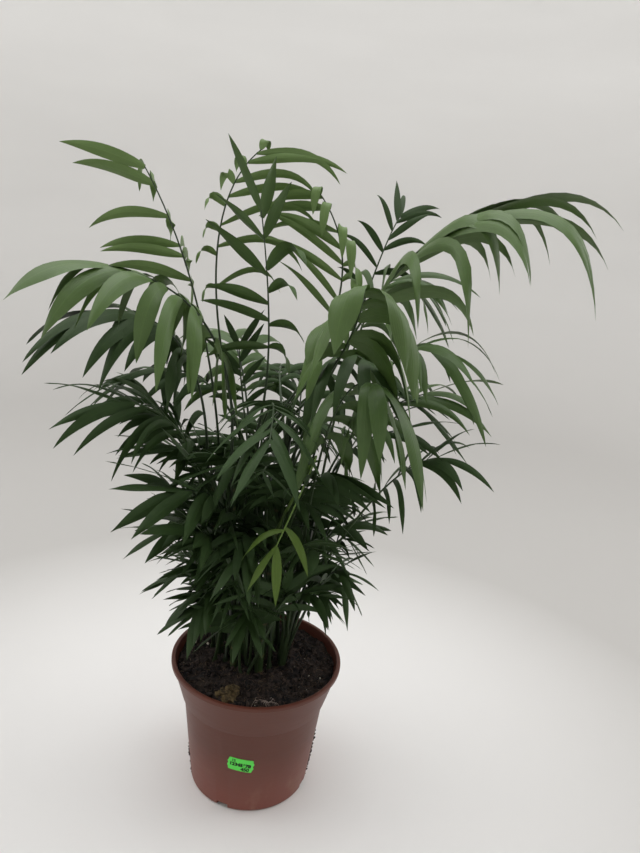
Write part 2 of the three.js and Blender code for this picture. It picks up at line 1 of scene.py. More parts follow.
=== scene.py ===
"""A parlour palm in its plastic nursery pot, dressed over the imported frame.

The tables and the growing rule are in millimetres, as the palm's source has them; meshes are in metres.
"""
import math
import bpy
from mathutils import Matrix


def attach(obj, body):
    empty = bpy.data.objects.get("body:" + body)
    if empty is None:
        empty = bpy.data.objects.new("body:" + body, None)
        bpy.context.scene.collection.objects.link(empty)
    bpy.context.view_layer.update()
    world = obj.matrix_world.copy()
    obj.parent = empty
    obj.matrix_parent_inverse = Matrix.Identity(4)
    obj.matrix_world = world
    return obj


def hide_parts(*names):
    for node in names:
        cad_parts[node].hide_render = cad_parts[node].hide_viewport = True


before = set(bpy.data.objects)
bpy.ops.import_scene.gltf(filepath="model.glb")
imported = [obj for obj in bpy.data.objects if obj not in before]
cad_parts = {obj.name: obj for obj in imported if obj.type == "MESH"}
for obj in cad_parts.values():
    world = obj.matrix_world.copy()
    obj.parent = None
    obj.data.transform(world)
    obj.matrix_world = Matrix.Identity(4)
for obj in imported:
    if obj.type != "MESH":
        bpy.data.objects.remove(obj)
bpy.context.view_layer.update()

from types import SimpleNamespace as Sizes

import bmesh
import bpy
import numpy as np
from mathutils import Matrix, Vector, noise

MM = 0.001
BODY = "root"
UP = np.array([0.0, 0.0, 1.0])
FULL_TURN = 6.28        # radians, as far as a random turn goes

# ---------------- driving dimensions, in millimetres
POT = Sizes(
    height=137, rim_radius=85, rim_round=1.2, inner_round=0.9, lip_height=4, lip_round=0.8,
    collar_top=83, collar_foot=73, collar_foot_height=97, step_rise=1, step_round=0.4, crease_round=0.5,
    body_top=71, base=60.5, foot_round=3, foot_ring=11, recess=1.2, recess_slope=1, wall=2, steps=160,
)
DRAIN = Sizes(count=4, heading=-113, width=12, height=5.5, depth=9, proud=1.5)

SOIL = Sizes(
    level=126, heap=2.7, edge_level=125, edge_depth=2, clear=0.3, foot_bevel=0.5, first_ring=0.4,
    ring_pitch=1.25, steps=340, lump_height=3.2, lump_pitch=15, clod_height=3.8, clod_pitch=6.5,
    crumb_height=0.8, crumb_pitch=2.2, reach=78,
)
# Shapes of the small lumps and of the fibres that lie on the soil.
LUMP = Sizes(roughness=(0.7, 1.25), lengths=(0.8, 1.3), flatness=0.75, sharp=40)
FIBRE = Sizes(rings=6, sides=3, bend=30, climbs=(0.1, 0.9), rise=0.35)
CRUMBS = Sizes(seed=5, count=1700, sizes=(0.6, 3.2), smallness=3, rise=0.15)
FIBRES = Sizes(seed=6, count=520, lengths=(2, 9), radius=0.18, middle=(0, 0), reach=74, squash=(1, 1))
PALE_FIBRES = Sizes(seed=7, count=26, lengths=(5, 12), radius=0.2, middle=(12, -64), reach=11,
                    squash=(1, 0.4))
PERLITE = Sizes(seed=8, count=46, sizes=(0.3, 0.7), rise=0.6)
# Place and size of the larger grains.
PERLITE_AT = [((-66, 28), 2.8), ((-52, 25), 1.4), ((58, 5), 1.0), ((53, -20), 1.0), ((64, -22), 0.9)]
# Each lobe is heaped over a place, with a radius and a height.
BARK = Sizes(seed=9, lobes=[((-29, -57), 5, 6), ((-20, -54), 6, 11), ((-24, -60), 5.5, 6)], count=24,
             sizes=(2.2, 4.8), roundness=3, layers=(0.2, 1))
# Dried soil on the pot's sides: compass heading, spread, lowest and highest place and number of crumbs.
POT_CRUMBS = Sizes(seed=10, sizes=(0.5, 1.7), smallness=2, proud=0.15,
                   sides=[(-11, 5, 6, 58, 44), (193, 5, 4, 36, 22)])

# clip is how far the label's corners are cut back, and wave how deep its ends are scalloped.
STICKER = Sizes(width=26, height=15, thickness=0.22, lift=0.05, heading=-96.8, middle=60, tilt=-6,
                clip=2.0, clip_power=5, wave=0.45, waves=3, columns=36, rows=20)
# The label's numbers: digits, size, where they start across and up from the middle, and how bold they are.
LABEL_ROWS = [
    ("12", 3.8, -9.0, 3.2, 0.16),
    ("12345678", 5.2, -10.8, -1.7, 0.34),
    ("450", 5.4, 0.8, -6.6, 0.26),
]
LABEL_INK = Sizes(thickness=0.03, rise=0.02)

# The clump stands a little off the pot's middle, with its canes in two rings that lean outward.
CLUMP = np.array([-4.0, 18.0, 0.0])
CANE_RINGS = [
    Sizes(heading=12, radius=34, lean=5.5, lengths=[150, 120, 175, 140, 190, 215, 165, 130]),
    Sizes(heading=40, radius=14, lean=2, lengths=[255, 230, 240, 205]),
]
CANE = Sizes(foot_radius=3.4, tip_radius=2.3, gap=0.3, sides=12, pitch=1.1, node_pitch=19, node_swell=0.13,
             node_width=1.1, node_shift=5, sunk=1.5)

RIB = Sizes(foot_radius=1.7, tip_radius=0.9, clearance=1.3, samples=96, turn_step=6, turn_tries=41)
LIMB_ROOM = 3        # what a limb's box leaves free round its middle line
# A stalk's sheath starts below soil level on a low frond, lies off its cane and wraps it with two wings.
STALK = Sizes(rings=30, sides=8, crowding=0.9, foot_radius=1.6, tip_radius=0.55, thinning=0.7, tip=1.5,
              sheath=40, sheath_rings=10, below_soil=4, off_cane=0.5, belly=1.2, flatness=0.35, wrap=1.2,
              wrap_width=5, wing=1.5, wing_power=0.6, wing_loss=0.3, closing=0.98, closing_power=6, seed=500)

LEAFLET = Sizes(
    cant=24, widest_at=0.78, fullness=0.62, taper=0.3, root_share=0.3, first_length=0.8, length_swell=0.6,
    first_width=0.85, width_swell=0.35, droop_pull=1.6, spread_power=1.2, sweep=0.12, thickness=0.24,
    midrib=1.6, fold=11, ripple=0.05, ripple_turn=9, twist=24, lowest=172, tint=0.5,
    # how far single leaflets stray, and the turns and shares of length that one tries to keep clear
    jitter=dict(length=0.16, angle=11, droop=0.45, offset=0.36, fold=9, width=0.14, lift=15),
    tries=[(0, 1), (7, 1), (-7, 1), (14, 0.95), (-14, 0.9), (22, 0.85), (-22, 0.8)],
)
# A blade's sections, from edge to edge and back: place across it, and upper or lower face.
FINE_SECTION = [(-1, 0), (-0.5, 1), (0, 1), (0.5, 1), (1, 0), (0.5, -1), (0, -1), (-0.5, -1)]
PLAIN_SECTION = [(-1, 0), (0, 1), (1, 0), (0, -1)]
FINE_STATIONS, PLAIN_STATIONS = 13, 8
VEINS = 11

# Each frond leaves its cane at a share of the cane's length, passes through mid half way and ends at tip.
# A row gives its name, cane, share, mid, tip, bare, pairs, leaf and droop, then what isn't as in FROND.
# bare is the share of its length without leaflets, leaf the longest leaflet's length and width, spread the
# leaflets' angle to the rib at the first pair and the last, end the last pair's share of length, across the
# compass heading of the blade's right side, lift the angle that the leaflets rise from the blade, and bend
# how late along a leaflet its droop sets in. last is the share of its length where the rib ends in its last
# pair, sides the shares of length of the leaflets to its right and left, limp their shares of droop,
# last_droop the last pair's share of it, and bank the angle that the blade's right side dips.
# Unless a row says otherwise, a frond takes the dark leaf green: partly the older leaves' own colour, partly
# painted shade low in the clump.
FROND = dict(lift=8, spread=(62, 24), end=0.96, bend=1.2, last=0.985, sides=(1, 1), limp=(1, 1),
             last_droop=0.4, bank=0, tone="leaf_deep_painted_shade")


def new_frond(name, cane, at, mid, tip, bare, pairs, leaf, droop, **habit):
    """A frond from its columns and from what isn't as in FROND."""
    return dict(habit, name=name, cane=cane, at=at, mid=mid, tip=tip, bare=bare, pairs=pairs, leaf=leaf,
                droop=droop)


# The upper fronds' lighter greens are partly painted light from above; the lower fronds' darker greens are
# partly painted shade.
FRONDS = [
    new_frond("left_arch", 5, 0.99, (-55, -55, 465), (-133, -85, 515), 0.42, 9, (88, 15), 3.6,
        spread=(80, 14), bend=1.3, end=0.86, bank=-12, tone="leaf_upper_painted_lit"),
    new_frond("left_back", 4, 0.99, (-84, 5, 438), (-156, -5, 470), 0.45, 8, (82, 12.5), 2.2, lift=0,
        bend=1.4, bank=-15),
    new_frond("left_upright", 3, 0.98, (-70, 20, 455), (-130, 30, 597), 0.62, 6, (90, 10.5), 0.8, lift=-40,
        spread=(64, 44), across=40, end=0.8, bend=1.8, sides=(0.6, 1), tone="leaf_bright_painted_lit", limp=(6, 1)),
    new_frond("centre_upright", 10, 0.99, (-10, 0, 450), (-25, 5, 570), 0.5, 6, (60, 10.5), 0.6, lift=12,
        across=-30, spread=(78, 26), end=1.1, sides=(0.8, 1.1), limp=(3.5, 1), bend=1.6, tone="leaf_green",
        last_droop=0.1),
    new_frond("centre_back", 2, 0.99, (-64, 45, 508), (-28, 62, 622), 0.46, 7, (92, 8), 1.1, lift=4,
        spread=(62, 42), across=8, bend=2.2, end=0.72, sides=(1.15, 0.34), last_droop=0.7,
        tone="leaf_bright_painted_lit", limp=(1, 5)),
    new_frond("centre_right", 9, 0.99, (50, 30, 490), (24, 40, 588), 0.44, 8, (84, 9), 0.5, lift=18,
        spread=(58, 48), across=-35, end=0.7, bend=1.6, sides=(0.6, 1.0), limp=(12, 1), last_droop=0.9,
        tone="leaf_bright_painted_lit"),
    new_frond("back_right", 1, 0.98, (76, 72, 478), (112, 105, 578), 0.48, 7, (48, 6.5), 1.0, across=-10,
        bend=1.8),
    new_frond("right_arch", 11, 0.99, (85, -20, 512), (158, -58, 572), 0.4, 9, (136, 12), 2.4,
        spread=(48, 10), bend=2.8, last=0.88, end=1.02, last_droop=0.7, lift=-12, tone="leaf_upper_painted_lit",
        limp=(1.6, 1)),
    new_frond("front_arch", 8, 0.99, (46, -77, 457), (51, -168, 519), 0.54, 6, (88, 19), 5.0,
        spread=(84, 34), bend=1.6, tone="leaf_upper_painted_lit", sides=(0.72, 1), last_droop=1.0),
    new_frond("front_low", 7, 0.99, (46, -68, 402), (70, -125, 450), 0.42, 7, (98, 13.5), 4.4,
        spread=(80, 26), bend=1.1, tone="leaf_green", sides=(0.72, 1), last_droop=0.6),
    new_frond("right_mid", 7, 0.8, (82, -40, 425), (126, -70, 467), 0.42, 8, (80, 8.5), 2.2,
        spread=(62, 16), bend=1.5, bank=15, tone="leaf_green"),
    new_frond("right_under", 0, 0.98, (71, 0, 370), (136, -10, 422), 0.42, 7, (76, 8), 1.9, bend=1.6,
        bank=20, tone="leaf_green"),
    new_frond("right_low", 7, 0.5, (94, -30, 323), (144, -55, 376), 0.5, 7, (62, 7.5), 1.3, bend=1.5,
        bank=25),
    new_frond("left_low", 4, 0.7, (-79, -10, 361), (-130, -40, 400), 0.36, 8, (74, 9.5), 1.4, lift=-6,
        spread=(58, 22), bend=1.6, bank=-30),
    new_frond("left_broad", 5, 0.6, (-41, -40, 313), (-74, -70, 335), 0.3, 6, (76, 13), 0.5,
        spread=(62, 18), bank=-30),
    new_frond("left_broad_low", 5, 0.4, (-36, -40, 265), (-64, -70, 301), 0.3, 6, (68, 11), 0.6,
        spread=(62, 18), bank=-25),
    new_frond("left_thin", 4, 0.2, (-55, -20, 236), (-79, -25, 239), 0.4, 6, (46, 5), 0.1, lift=-10,
        spread=(50, 16)),
    new_frond("left_foot", 3, 0.2, (-45, -10, 212), (-68, -20, 214), 0.3, 6, (45, 9), 0.7),
    new_frond("right_foot", 7, 0.2, (60, -10, 230), (78, -20, 236), 0.3, 6, (45, 7), 1.0),
    new_frond("right_thin", 0, 0.4, (66, 10, 290), (85, 20, 297), 0.3, 6, (35, 6), 0.2),
    new_frond("right_small", 0, 0.25, (64, 10, 252), (85, 10, 259), 0.3, 6, (35, 6), 0.8),
    new_frond("centre_small", 6, 0.7, (-24, 1, 375), (-34, 10, 448), 0.6, 4, (38, 7), 0.3, lift=10,
        across=0),
    new_frond("young", 6, 0.99, (42, -60, 372), (16, -97, 299), 0.93, 2, (52, 7.8), 1.4, lift=12,
        spread=(80, 24), tone="leaf_young"),
]

# Finer fronds that fill the crown between the others.
EXTRA_FRONDS = [
    new_frond("left_spray", 4, 0.6, (-76, -8, 345), (-122, -24, 386), 0.34, 7, (60, 8), 1.2, bend=1.6,
        bank=-30),
    new_frond("left_spray_back", 3, 0.9, (-72, 30, 338), (-124, 44, 384), 0.36, 7, (62, 8.5), 1.2,
        bend=1.6, bank=-20),
    new_frond("front_fall", 9, 0.9, (34, -36, 438), (64, -96, 462), 0.5, 5, (74, 11), 3.4, spread=(76, 26),
        bend=1.0),
    new_frond("right_fall", 0, 0.9, (78, 30, 470), (124, 30, 512), 0.5, 8, (80, 7.5), 2.2, spread=(60, 14),
        bend=1.4, bank=15, tone="leaf_green"),
    new_frond("right_spray", 0, 0.8, (72, 22, 345), (130, 26, 392), 0.38, 6, (60, 7), 1.0, bend=1.6,
        bank=25),
    new_frond("back_spray", 1, 0.9, (38, 84, 366), (62, 150, 404), 0.4, 8, (70, 9.5), 1.4, bend=1.4),
    new_frond("back_fall", 2, 0.9, (-40, 92, 402), (-70, 148, 436), 0.42, 8, (80, 11), 2.0, bend=1.4,
        tone="leaf_green"),
]

# Short fronds from the outer canes, one low and one half way up, that fill the foot of the clump.
SHORT = Sizes(
    seed=77, suffixes="ab", shares=(0.3, 0.62), turns=(-20, 25), turn_jitter=10, reaches=(82, 100),
    front_reach=0.9, reach_jitter=8, mid_share=0.35, heights=(215, 290), height_jitter=15, rise=14,
    leaves=((44, 9), (52, 10)), bare=0.35, pairs=6, droop=0.8,
)
# One longer frond from each inner cane, in the darkest inner green: partly the leaves' own colour, partly
# painted shade inside the clump.
INNER = Sizes(heading=85, share=0.9, reach=145, mid_reach=68, height=400, rise=10, leaf=(64, 8),
              bare=0.4, pairs=8, droop=1.1, tone="leaf_shade")
# Plain fronds that thicken the clump, inside the reach of the others at their height. They rise from the
# canes and from shoots that stand among them. Their dark inner green is partly painted shade inside the
# clump.
FILL = Sizes(
    seed=31, count=114, shares=(0.06, 0.92), turn=48, heights=(45, 165), top=350, reaches=(0.35, 1.0),
    mid_share=0.22, mid_height=0.62, rise=(8, 26), bare=(0.35, 0.55), pairs=6, lengths=(38, 68),
    slimness=(0.1, 0.15), droop=(0.2, 1.4), front_reach=0.72, lifts=(-30, 34), rolls=38, tries=13,
)
SHOOTS = Sizes(seed=12, count=22, radii=(5, 44), spacing=8.5, length=16, share=0.5)
# Height and how far from the clump's middle its plain fronds reach there.
CLUMP_REACH = [(140, 58), (200, 84), (250, 100), (300, 116), (350, 130), (400, 142), (450, 150)]


# ---------------- small helpers
class Draws:
    """Park and Miller's generator: the same seed always grows the same plant."""
    MODULUS = 2147483647

    def __init__(self, seed):
        self.state = (seed * 7919 + 12345) % self.MODULUS

    def between(self, low, high):
        self.state = self.state * 16807 % self.MODULUS
        return low + (high - low) * self.state / self.MODULUS

    def spread(self, half):
        return self.between(-half, half)


def lerp(a, b, share):
    return a + (b - a) * share


def unit(v):
    return v / np.linalg.norm(v, axis=-1, keepdims=True)


def polar(heading, reach, height=0.0):
    angle = math.radians(heading)
    return np.array([reach * math.cos(angle), reach * math.sin(angle), height])


def square_to(v, direction):
    """The part of v that is square to direction, at unit length."""
    return unit(v - (v * direction).sum(-1, keepdims=True) * direction)


def turned_about(v, axis, degrees):
    angle = math.radians(degrees)
    return (v * math.cos(angle) + np.cross(axis, v) * math.sin(angle)
            + axis * (axis @ v) * (1 - math.cos(angle)))


def swelling(first, last, swell, share):
    """From a first value to a last one, raised by a hump in between."""
    return lerp(first, last, share) + swell * share * (1 - share)


def linear(*screen):
    """A paint colour from the 0 to 255 screen values of its red, green and blue, with full alpha."""
    return (*(((c / 255 + 0.055) / 1.055) ** 2.4 for c in screen), 1)


# ---------------- materials
class Value:
    """A number inside a finish: arithmetic on it adds Math nodes."""

    def __init__(self, finish, socket):
        self.finish, self.socket = finish, socket

    def math(self, operation, *others):
        return self.finish.node("ShaderNodeMath", {"operation": operation}, dict(enumerate((self, *others))))

    def __add__(self, other):
        return self.math("ADD", other)

    def __sub__(self, other):
        return self.math("SUBTRACT", other)

    def __rsub__(self, other):
        return (self * -1) + other

    def __mul__(self, other):
        return self.math("MULTIPLY", other)

    __radd__, __rmul__ = __add__, __mul__


class Finish:
    """A material built round one Principled shader."""

    def __init__(self, name, **uniform):
        self.material = bpy.data.materials.new(name)
        self.material.use_nodes = True
        self.tree = self.material.node_tree
        self.shader = self.tree.nodes["Principled BSDF"]
        for socket, value in uniform.items():
            self.shader.inputs[socket.replace("_", " ")].default_value = value

    def node(self, kind, settings=(), sockets=(), output=0):
        made = self.tree.nodes.new(kind)
        for name, setting in dict(settings).items():
            setattr(made, name, setting)
        for key, value in dict(sockets).items():
            self.plug(made.inputs[key], value)
        return Value(self, made.outputs[output])

    def plug(self, socket, value):
        if isinstance(value, Value):
            self.tree.links.new(value.socket, socket)
        else:
            socket.default_value = value

    def place(self, stretch=(1, 1, 1)):
        """Object coordinates, stretched."""
        own = self.node("ShaderNodeTexCoord", output="Object")
        return self.node("ShaderNodeMapping", sockets={"Vector": own, "Scale": stretch})

    def noise(self, scale, detail=3.0, roughness=0.55, stretch=(1, 1, 1)):
        sockets = {"Vector": self.place(stretch), "Scale": scale, "Detail": detail, "Roughness": roughness}
        return self.node("ShaderNodeTexNoise", sockets=sockets)

    def attribute(self, name):
        return self.node("ShaderNodeAttribute", {"attribute_name": name}, output="Fac")

    def axis(self, vector, letter):
        return self.node("ShaderNodeSeparateXYZ", sockets={0: vector}, output=letter)

    def share(self, letter):
        """The share across a shape, X, or along it, Y."""
        return self.axis(self.node("ShaderNodeUVMap", {"uv_map": "UVMap"}), letter)

    def ramp(self, value, low, high):
        """A number from 0 to 1 between two places of value."""
        sockets = {"Value": value, "From Min": low, "From Max": high}
        return self.node("ShaderNodeMapRange", {"clamp": True}, sockets)

    def mix(self, factor, a, b):
        return self.node("ShaderNodeMix", {"data_type": "RGBA"}, {0: factor, 6: a, 7: b}, output=2)

    def tinted(self, colour, value):
        """A colour multiplied by a number."""
        sockets = {"Vector": colour[:3], "Scale": value}
        return self.node("ShaderNodeVectorMath", {"operation": "SCALE"}, sockets)

    def bump(self, height, strength, distance):
        sockets = {"Height": height, "Strength": strength, "Distance": distance}
        self.wear(Normal=self.node("ShaderNodeBump", sockets=sockets))

    def wear(self, **links):
        for socket, value in links.items():
            self.plug(self.shader.inputs[socket.replace("_", " ")], value)


def pot_plastic():
    """Matt brown moulded plastic: faint moulding lines, scuffs and dried soil dust near the foot, and painted
    bounce light that makes the foot paler.
    """
    finish = Finish("pot_plastic", Roughness=0.5, Specular_IOR_Level=0.42)
    broad = finish.noise(14, 3)
    lines = finish.noise(26, 4, 0.6, (1, 1, 26))
    scuff = finish.ramp(finish.noise(34, 5, 0.65, (1, 1, 9)), 0.62, 0.74)
    dust = finish.ramp(finish.noise(30, 6, 0.6, (1, 1, 0.6)), 0.56, 0.75)
    height = finish.axis(finish.place(), "Z")
    low = finish.ramp(height, 0.045, 0.004)
    brown = finish.mix(broad, linear(87, 44, 32), linear(101, 54, 40))
    # painted light: the brown is mixed paler towards the bottom for light bounced up from the floor
    painted_bounce_foot = finish.mix(finish.ramp(height, 0.07, 0.0) * 0.6, brown, linear(146, 82, 70))
    scuffed = finish.mix(scuff * 0.35, painted_bounce_foot, linear(76, 41, 32))
    dusty = finish.mix(dust * low * 0.55, scuffed, linear(160, 132, 108))
    finish.wear(Base_Color=dusty, Roughness=0.38 + 0.16 * lines)
    finish.bump(lines, 0.12, 0.0004)
    return finish.material


def potting_soil():
    """Damp dark peat with brown flecks."""
    finish = Finish("potting_soil", Roughness=0.86, Specular_IOR_Level=0.25)
    patches = finish.ramp(finish.noise(55, 4, 0.6), 0.4, 0.68)
    flecks = finish.ramp(finish.noise(700, 3, 0.6), 0.58, 0.7)
    peat = finish.mix(patches, linear(21, 20, 23), linear(57, 48, 43))
    finish.wear(Base_Color=finish.mix(flecks * 0.6, peat, linear(112, 92, 74)))
    finish.bump(finish.noise(420, 5, 0.7), 0.9, 0.0012)
    return finish.material


def grain(name, dark, pale, scale, roughness=0.9):
    """A crumbly matt finish between two screen colours."""
    finish = Finish(name, Roughness=roughness, Specular_IOR_Level=0.25)
    spots = finish.noise(scale, 4, 0.65)
    finish.wear(Base_Color=finish.mix(finish.ramp(spots, 0.38, 0.64), linear(*dark), linear(*pale)))
    finish.bump(spots, 0.6, 0.0006)
    return finish.material


def sticker_paper():
    """Bright fluorescent label paper, a little worn."""
    finish = Finish("sticker_paper", Roughness=0.62)
    wear = finish.noise(260, 4, 0.6)
    finish.wear(Base_Color=finish.mix(wear, linear(88, 226, 78), linear(104, 240, 96)))
    finish.bump(finish.noise(1400, 2), 0.15, 0.0001)
    return finish.material


def cane_skin():
    """Green ringed cane, browner at its rings."""
    finish = Finish("cane_skin", Roughness=0.5, Specular_IOR_Level=0.4)
    streaks = finish.noise(900, 3, 0.6, (1, 1, 0.12))
    rings = finish.attribute("ring")
    green = finish.mix(streaks, linear(34, 52, 28), linear(58, 80, 42))
    finish.wear(Base_Color=finish.mix(rings * 0.7, green, linear(96, 86, 58)))
    finish.bump(streaks, 0.3, 0.0003)
    return finish.material


def stalk_skin(name, dark, pale):
    """Smooth green stalk with fine lengthwise grooves, darker where it sheathes its cane: painted shade low
    in the clump.
    """
    finish = Finish(name, Roughness=0.42, Specular_IOR_Level=0.45)
    tint = finish.attribute("tint")
    along = finish.share("Y")
    grooves = finish.noise(1200, 2, stretch=(1, 1, 0.1))
    # painted shade: the sheath and foot of each stalk are mixed darker for the shade low in the clump
    sheath = finish.ramp(along, 0.22, 0.0)
    green = finish.mix(finish.ramp(tint, -1, 1), linear(*dark), linear(*pale))
    finish.wear(Base_Color=finish.mix(sheath * 0.7, green, linear(36, 47, 28)))
    finish.bump(grooves, 0.25, 0.0002)
    return finish.material


def leaf_skin(name, screen, roughness, sheen):
    """Leaf green with a paler midrib and fine veins along the leaflet; a tint of its own on each leaflet."""
    finish = Finish(name, Roughness=roughness, Specular_IOR_Level=sheen)
    colour = linear(*screen)
    tint = finish.attribute("tint")
    across = finish.share("X")
    off_rib = (across - 0.5).math("ABSOLUTE")
    midrib = finish.ramp(off_rib, 0.05, 0.0)
    veins = (across * (2 * math.pi * VEINS)).math("SINE")
    mottle = finish.noise(130, 3)
    shade = 0.86 + 0.12 * tint + 0.22 * mottle + 0.02 * veins
    green = finish.tinted(colour, shade)
    finish.wear(Base_Color=finish.mix(midrib * 0.16, green, tuple(1.7 * c for c in colour[:3]) + (1,)))
    finish.bump(veins * 0.35 + midrib * -1.0, 0.35, 0.0002)
    return finish.material


# ---------------- joined meshes from arrays
def skin_faces(rings, sides):
    """Faces of a closed skin over rings of points that end in one point."""
    ring = np.arange(sides)
    after = (ring + 1) % sides
    quads = [k * sides + np.stack([ring, after, after + sides, ring + sides], 1) for k in range(rings - 1)]
    last = (rings - 1) * sides
    point = np.stack([last + ring, last + after, np.full(sides, rings * sides)], 1)
    return [np.concatenate(quads), point, ring[::-1][None]]


def joined_mesh(name, batches, sharp=None):
    """One mesh of many closed shapes. A batch is the faces of one shape, then the points, the across and
    along shares and the tint of all its shapes."""
    corners, sizes, places, shares, tints = [], [], [], [], []
    base = 0
    for faces, points, share, tint in batches:
        count, each = points.shape[:2]
        starts = base + each * np.arange(count)
        for group in faces:
            corners.append((group[None] + starts[:, None, None]).ravel())
            sizes.append(np.full(count * len(group), group.shape[1]))
        places.append(points.reshape(-1, 3))
        shares.append(share.reshape(-1, 2))
        tints.append(np.repeat(tint, each))
        base += count * each
    corners, sizes = np.concatenate(corners), np.concatenate(sizes)
    mesh = bpy.data.meshes.new(name)
    mesh.vertices.add(base)
    mesh.vertices.foreach_set("co", (MM * np.concatenate(places)).ravel())
    mesh.loops.add(len(corners))
    mesh.loops.foreach_set("vertex_index", corners.astype(np.int32))
    mesh.polygons.add(len(sizes))
    mesh.polygons.foreach_set("loop_start", (np.cumsum(sizes) - sizes).astype(np.int32))
    mesh.update(calc_edges=True)
    mesh.uv_layers.new(name="UVMap").data.foreach_set("uv", np.concatenate(shares)[corners].ravel())
    mesh.attributes.new("tint", "FLOAT", "POINT").data.foreach_set("value", np.concatenate(tints))
    mesh.shade_smooth()
    if sharp:
        mesh.set_sharp_from_angle(angle=math.radians(sharp))
    return mesh


def linked(name, data):
    """A new object in the scene."""
    made = bpy.data.objects.new(name, data)
    bpy.context.scene.collection.objects.link(made)
    return made


def shaped_mesh(piece):
    """A piece's shape, with its modifiers, as a new mesh."""
    return bpy.data.meshes.new_from_object(piece.evaluated_get(bpy.context.evaluated_depsgraph_get()))


def add_piece(name, mesh, material, replaces=()):
    piece = linked(name, mesh)
    mesh.materials.clear()
    mesh.materials.append(material)
    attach(piece, BODY)
    if replaces:
        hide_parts(*replaces)
    return piece


def plain_mesh(bm, name):
    mesh = bpy.data.meshes.new(name)
    bm.to_mesh(mesh)
    bm.free()
    return mesh


def mesh_of(bm, name, sharp=30):
    """A smooth mesh with its sharp edges kept."""
    mesh = plain_mesh(bm, name)
    mesh.shade_smooth()
    mesh.set_sharp_from_angle(angle=math.radians(sharp))
    return mesh


# ---------------- pot
def wall_radius(height):
    return lerp(POT.base, POT.body_top, height / POT.collar_foot_height)


def collar_radius(height):
    foot = POT.collar_foot_height
    share = (height - foot) / (POT.height - POT.lip_height - foot)
    return lerp(POT.collar_foot, POT.collar_top, share)


def rounded(corners, arc_points=5):
    """A profile with its corners rounded: each corner is a radius, a height and how far it is rounded."""
    profile = []
    for k, (r, z, trim) in enumerate(corners):
        here = np.array([r, z], float)
        if not trim:
            profile.append(here)
            continue
        before, after = (np.array(corners[k + d][:2], float) for d in (-1, 1))
        start, end = here + trim * unit(before - here), here + trim * unit(after - here)
        for t in np.linspace(0, 1, arc_points):
            profile.append((1 - t) ** 2 * start + 2 * t * (1 - t) * here + t * t * end)
    return profile


def spun(profile, steps):
    """A surface from a profile of radii and heights that starts on the pot's axis."""
    bm = bmesh.new()
    points = [bm.verts.new((MM * r, 0, MM * z)) for r, z in profile]
    edges = [bm.edges.new(pair) for pair in zip(points, points[1:])]
    bmesh.ops.spin(bm, geom=points + edges, cent=(0, 0, 0), axis=(0, 0, 1), angle=2 * math.pi,
                   steps=steps, use_merge=True)
    bmesh.ops.remove_doubles(bm, verts=bm.verts, dist=1e-7)
    return bm


def spun_shell(profile, steps):
    """A closed shell, with its faces outward: its profile ends on the axis too."""
    bm = spun(profile, steps)
    bmesh.ops.recalc_face_normals(bm, faces=bm.faces)
    return bm


def drain_cutters():
    bm = bmesh.new()
    size = Matrix.Diagonal((MM * DRAIN.depth, MM * DRAIN.width, 2 * MM * DRAIN.height, 1))
    for k in range(DRAIN.count):
        heading = math.radians(DRAIN.heading + 360 * k / DRAIN.count)
        reach = MM * (POT.base + DRAIN.proud - DRAIN.depth / 2)
        place = Matrix.Rotation(heading, 4, "Z") @ Matrix.Translation((reach, 0, 0)) @ size
        bmesh.ops.create_cube(bm, size=1, matrix=place)
    return linked("drain_cutters", plain_mesh(bm, "drain_cutters"))


def make_pot():
    height, foot, rise = POT.height, POT.collar_foot_height, POT.step_rise
    lip_foot, wall = height - POT.lip_height, POT.wall
    ring, recess = POT.base - POT.foot_ring, POT.recess
    soft, crease = POT.step_round, POT.crease_round
    inner = collar_radius(lip_foot) - wall
    bm = spun_shell(rounded([
        (0, recess, 0), (ring - POT.recess_slope, recess, 0), (ring, 0, crease),
        (POT.base, 0, POT.foot_round), (wall_radius(foot), foot, soft),
        (collar_radius(foot), foot + rise, soft), (collar_radius(lip_foot), lip_foot, crease),
        (POT.rim_radius, lip_foot, POT.lip_round),
        (POT.rim_radius, height, POT.rim_round), (inner, height, POT.inner_round),
        (collar_radius(foot) - wall, foot + rise, soft), (wall_radius(foot) - wall, foot - rise, soft),
        (wall_radius(wall) - wall, wall, 0), (0, wall, 0),
    ]), POT.steps)
    pot = add_piece("nursery_pot", mesh_of(bm, "nursery_pot"), pot_plastic(), ["pot"])
    cutters = drain_cutters()
    cut = pot.modifiers.new("drain", "BOOLEAN")
    cut.operation, cut.solver, cut.object = "DIFFERENCE", "EXACT", cutters
    notched = shaped_mesh(pot)
    pot.modifiers.clear()
    pot.data = notched
    bpy.data.objects.remove(cutters)


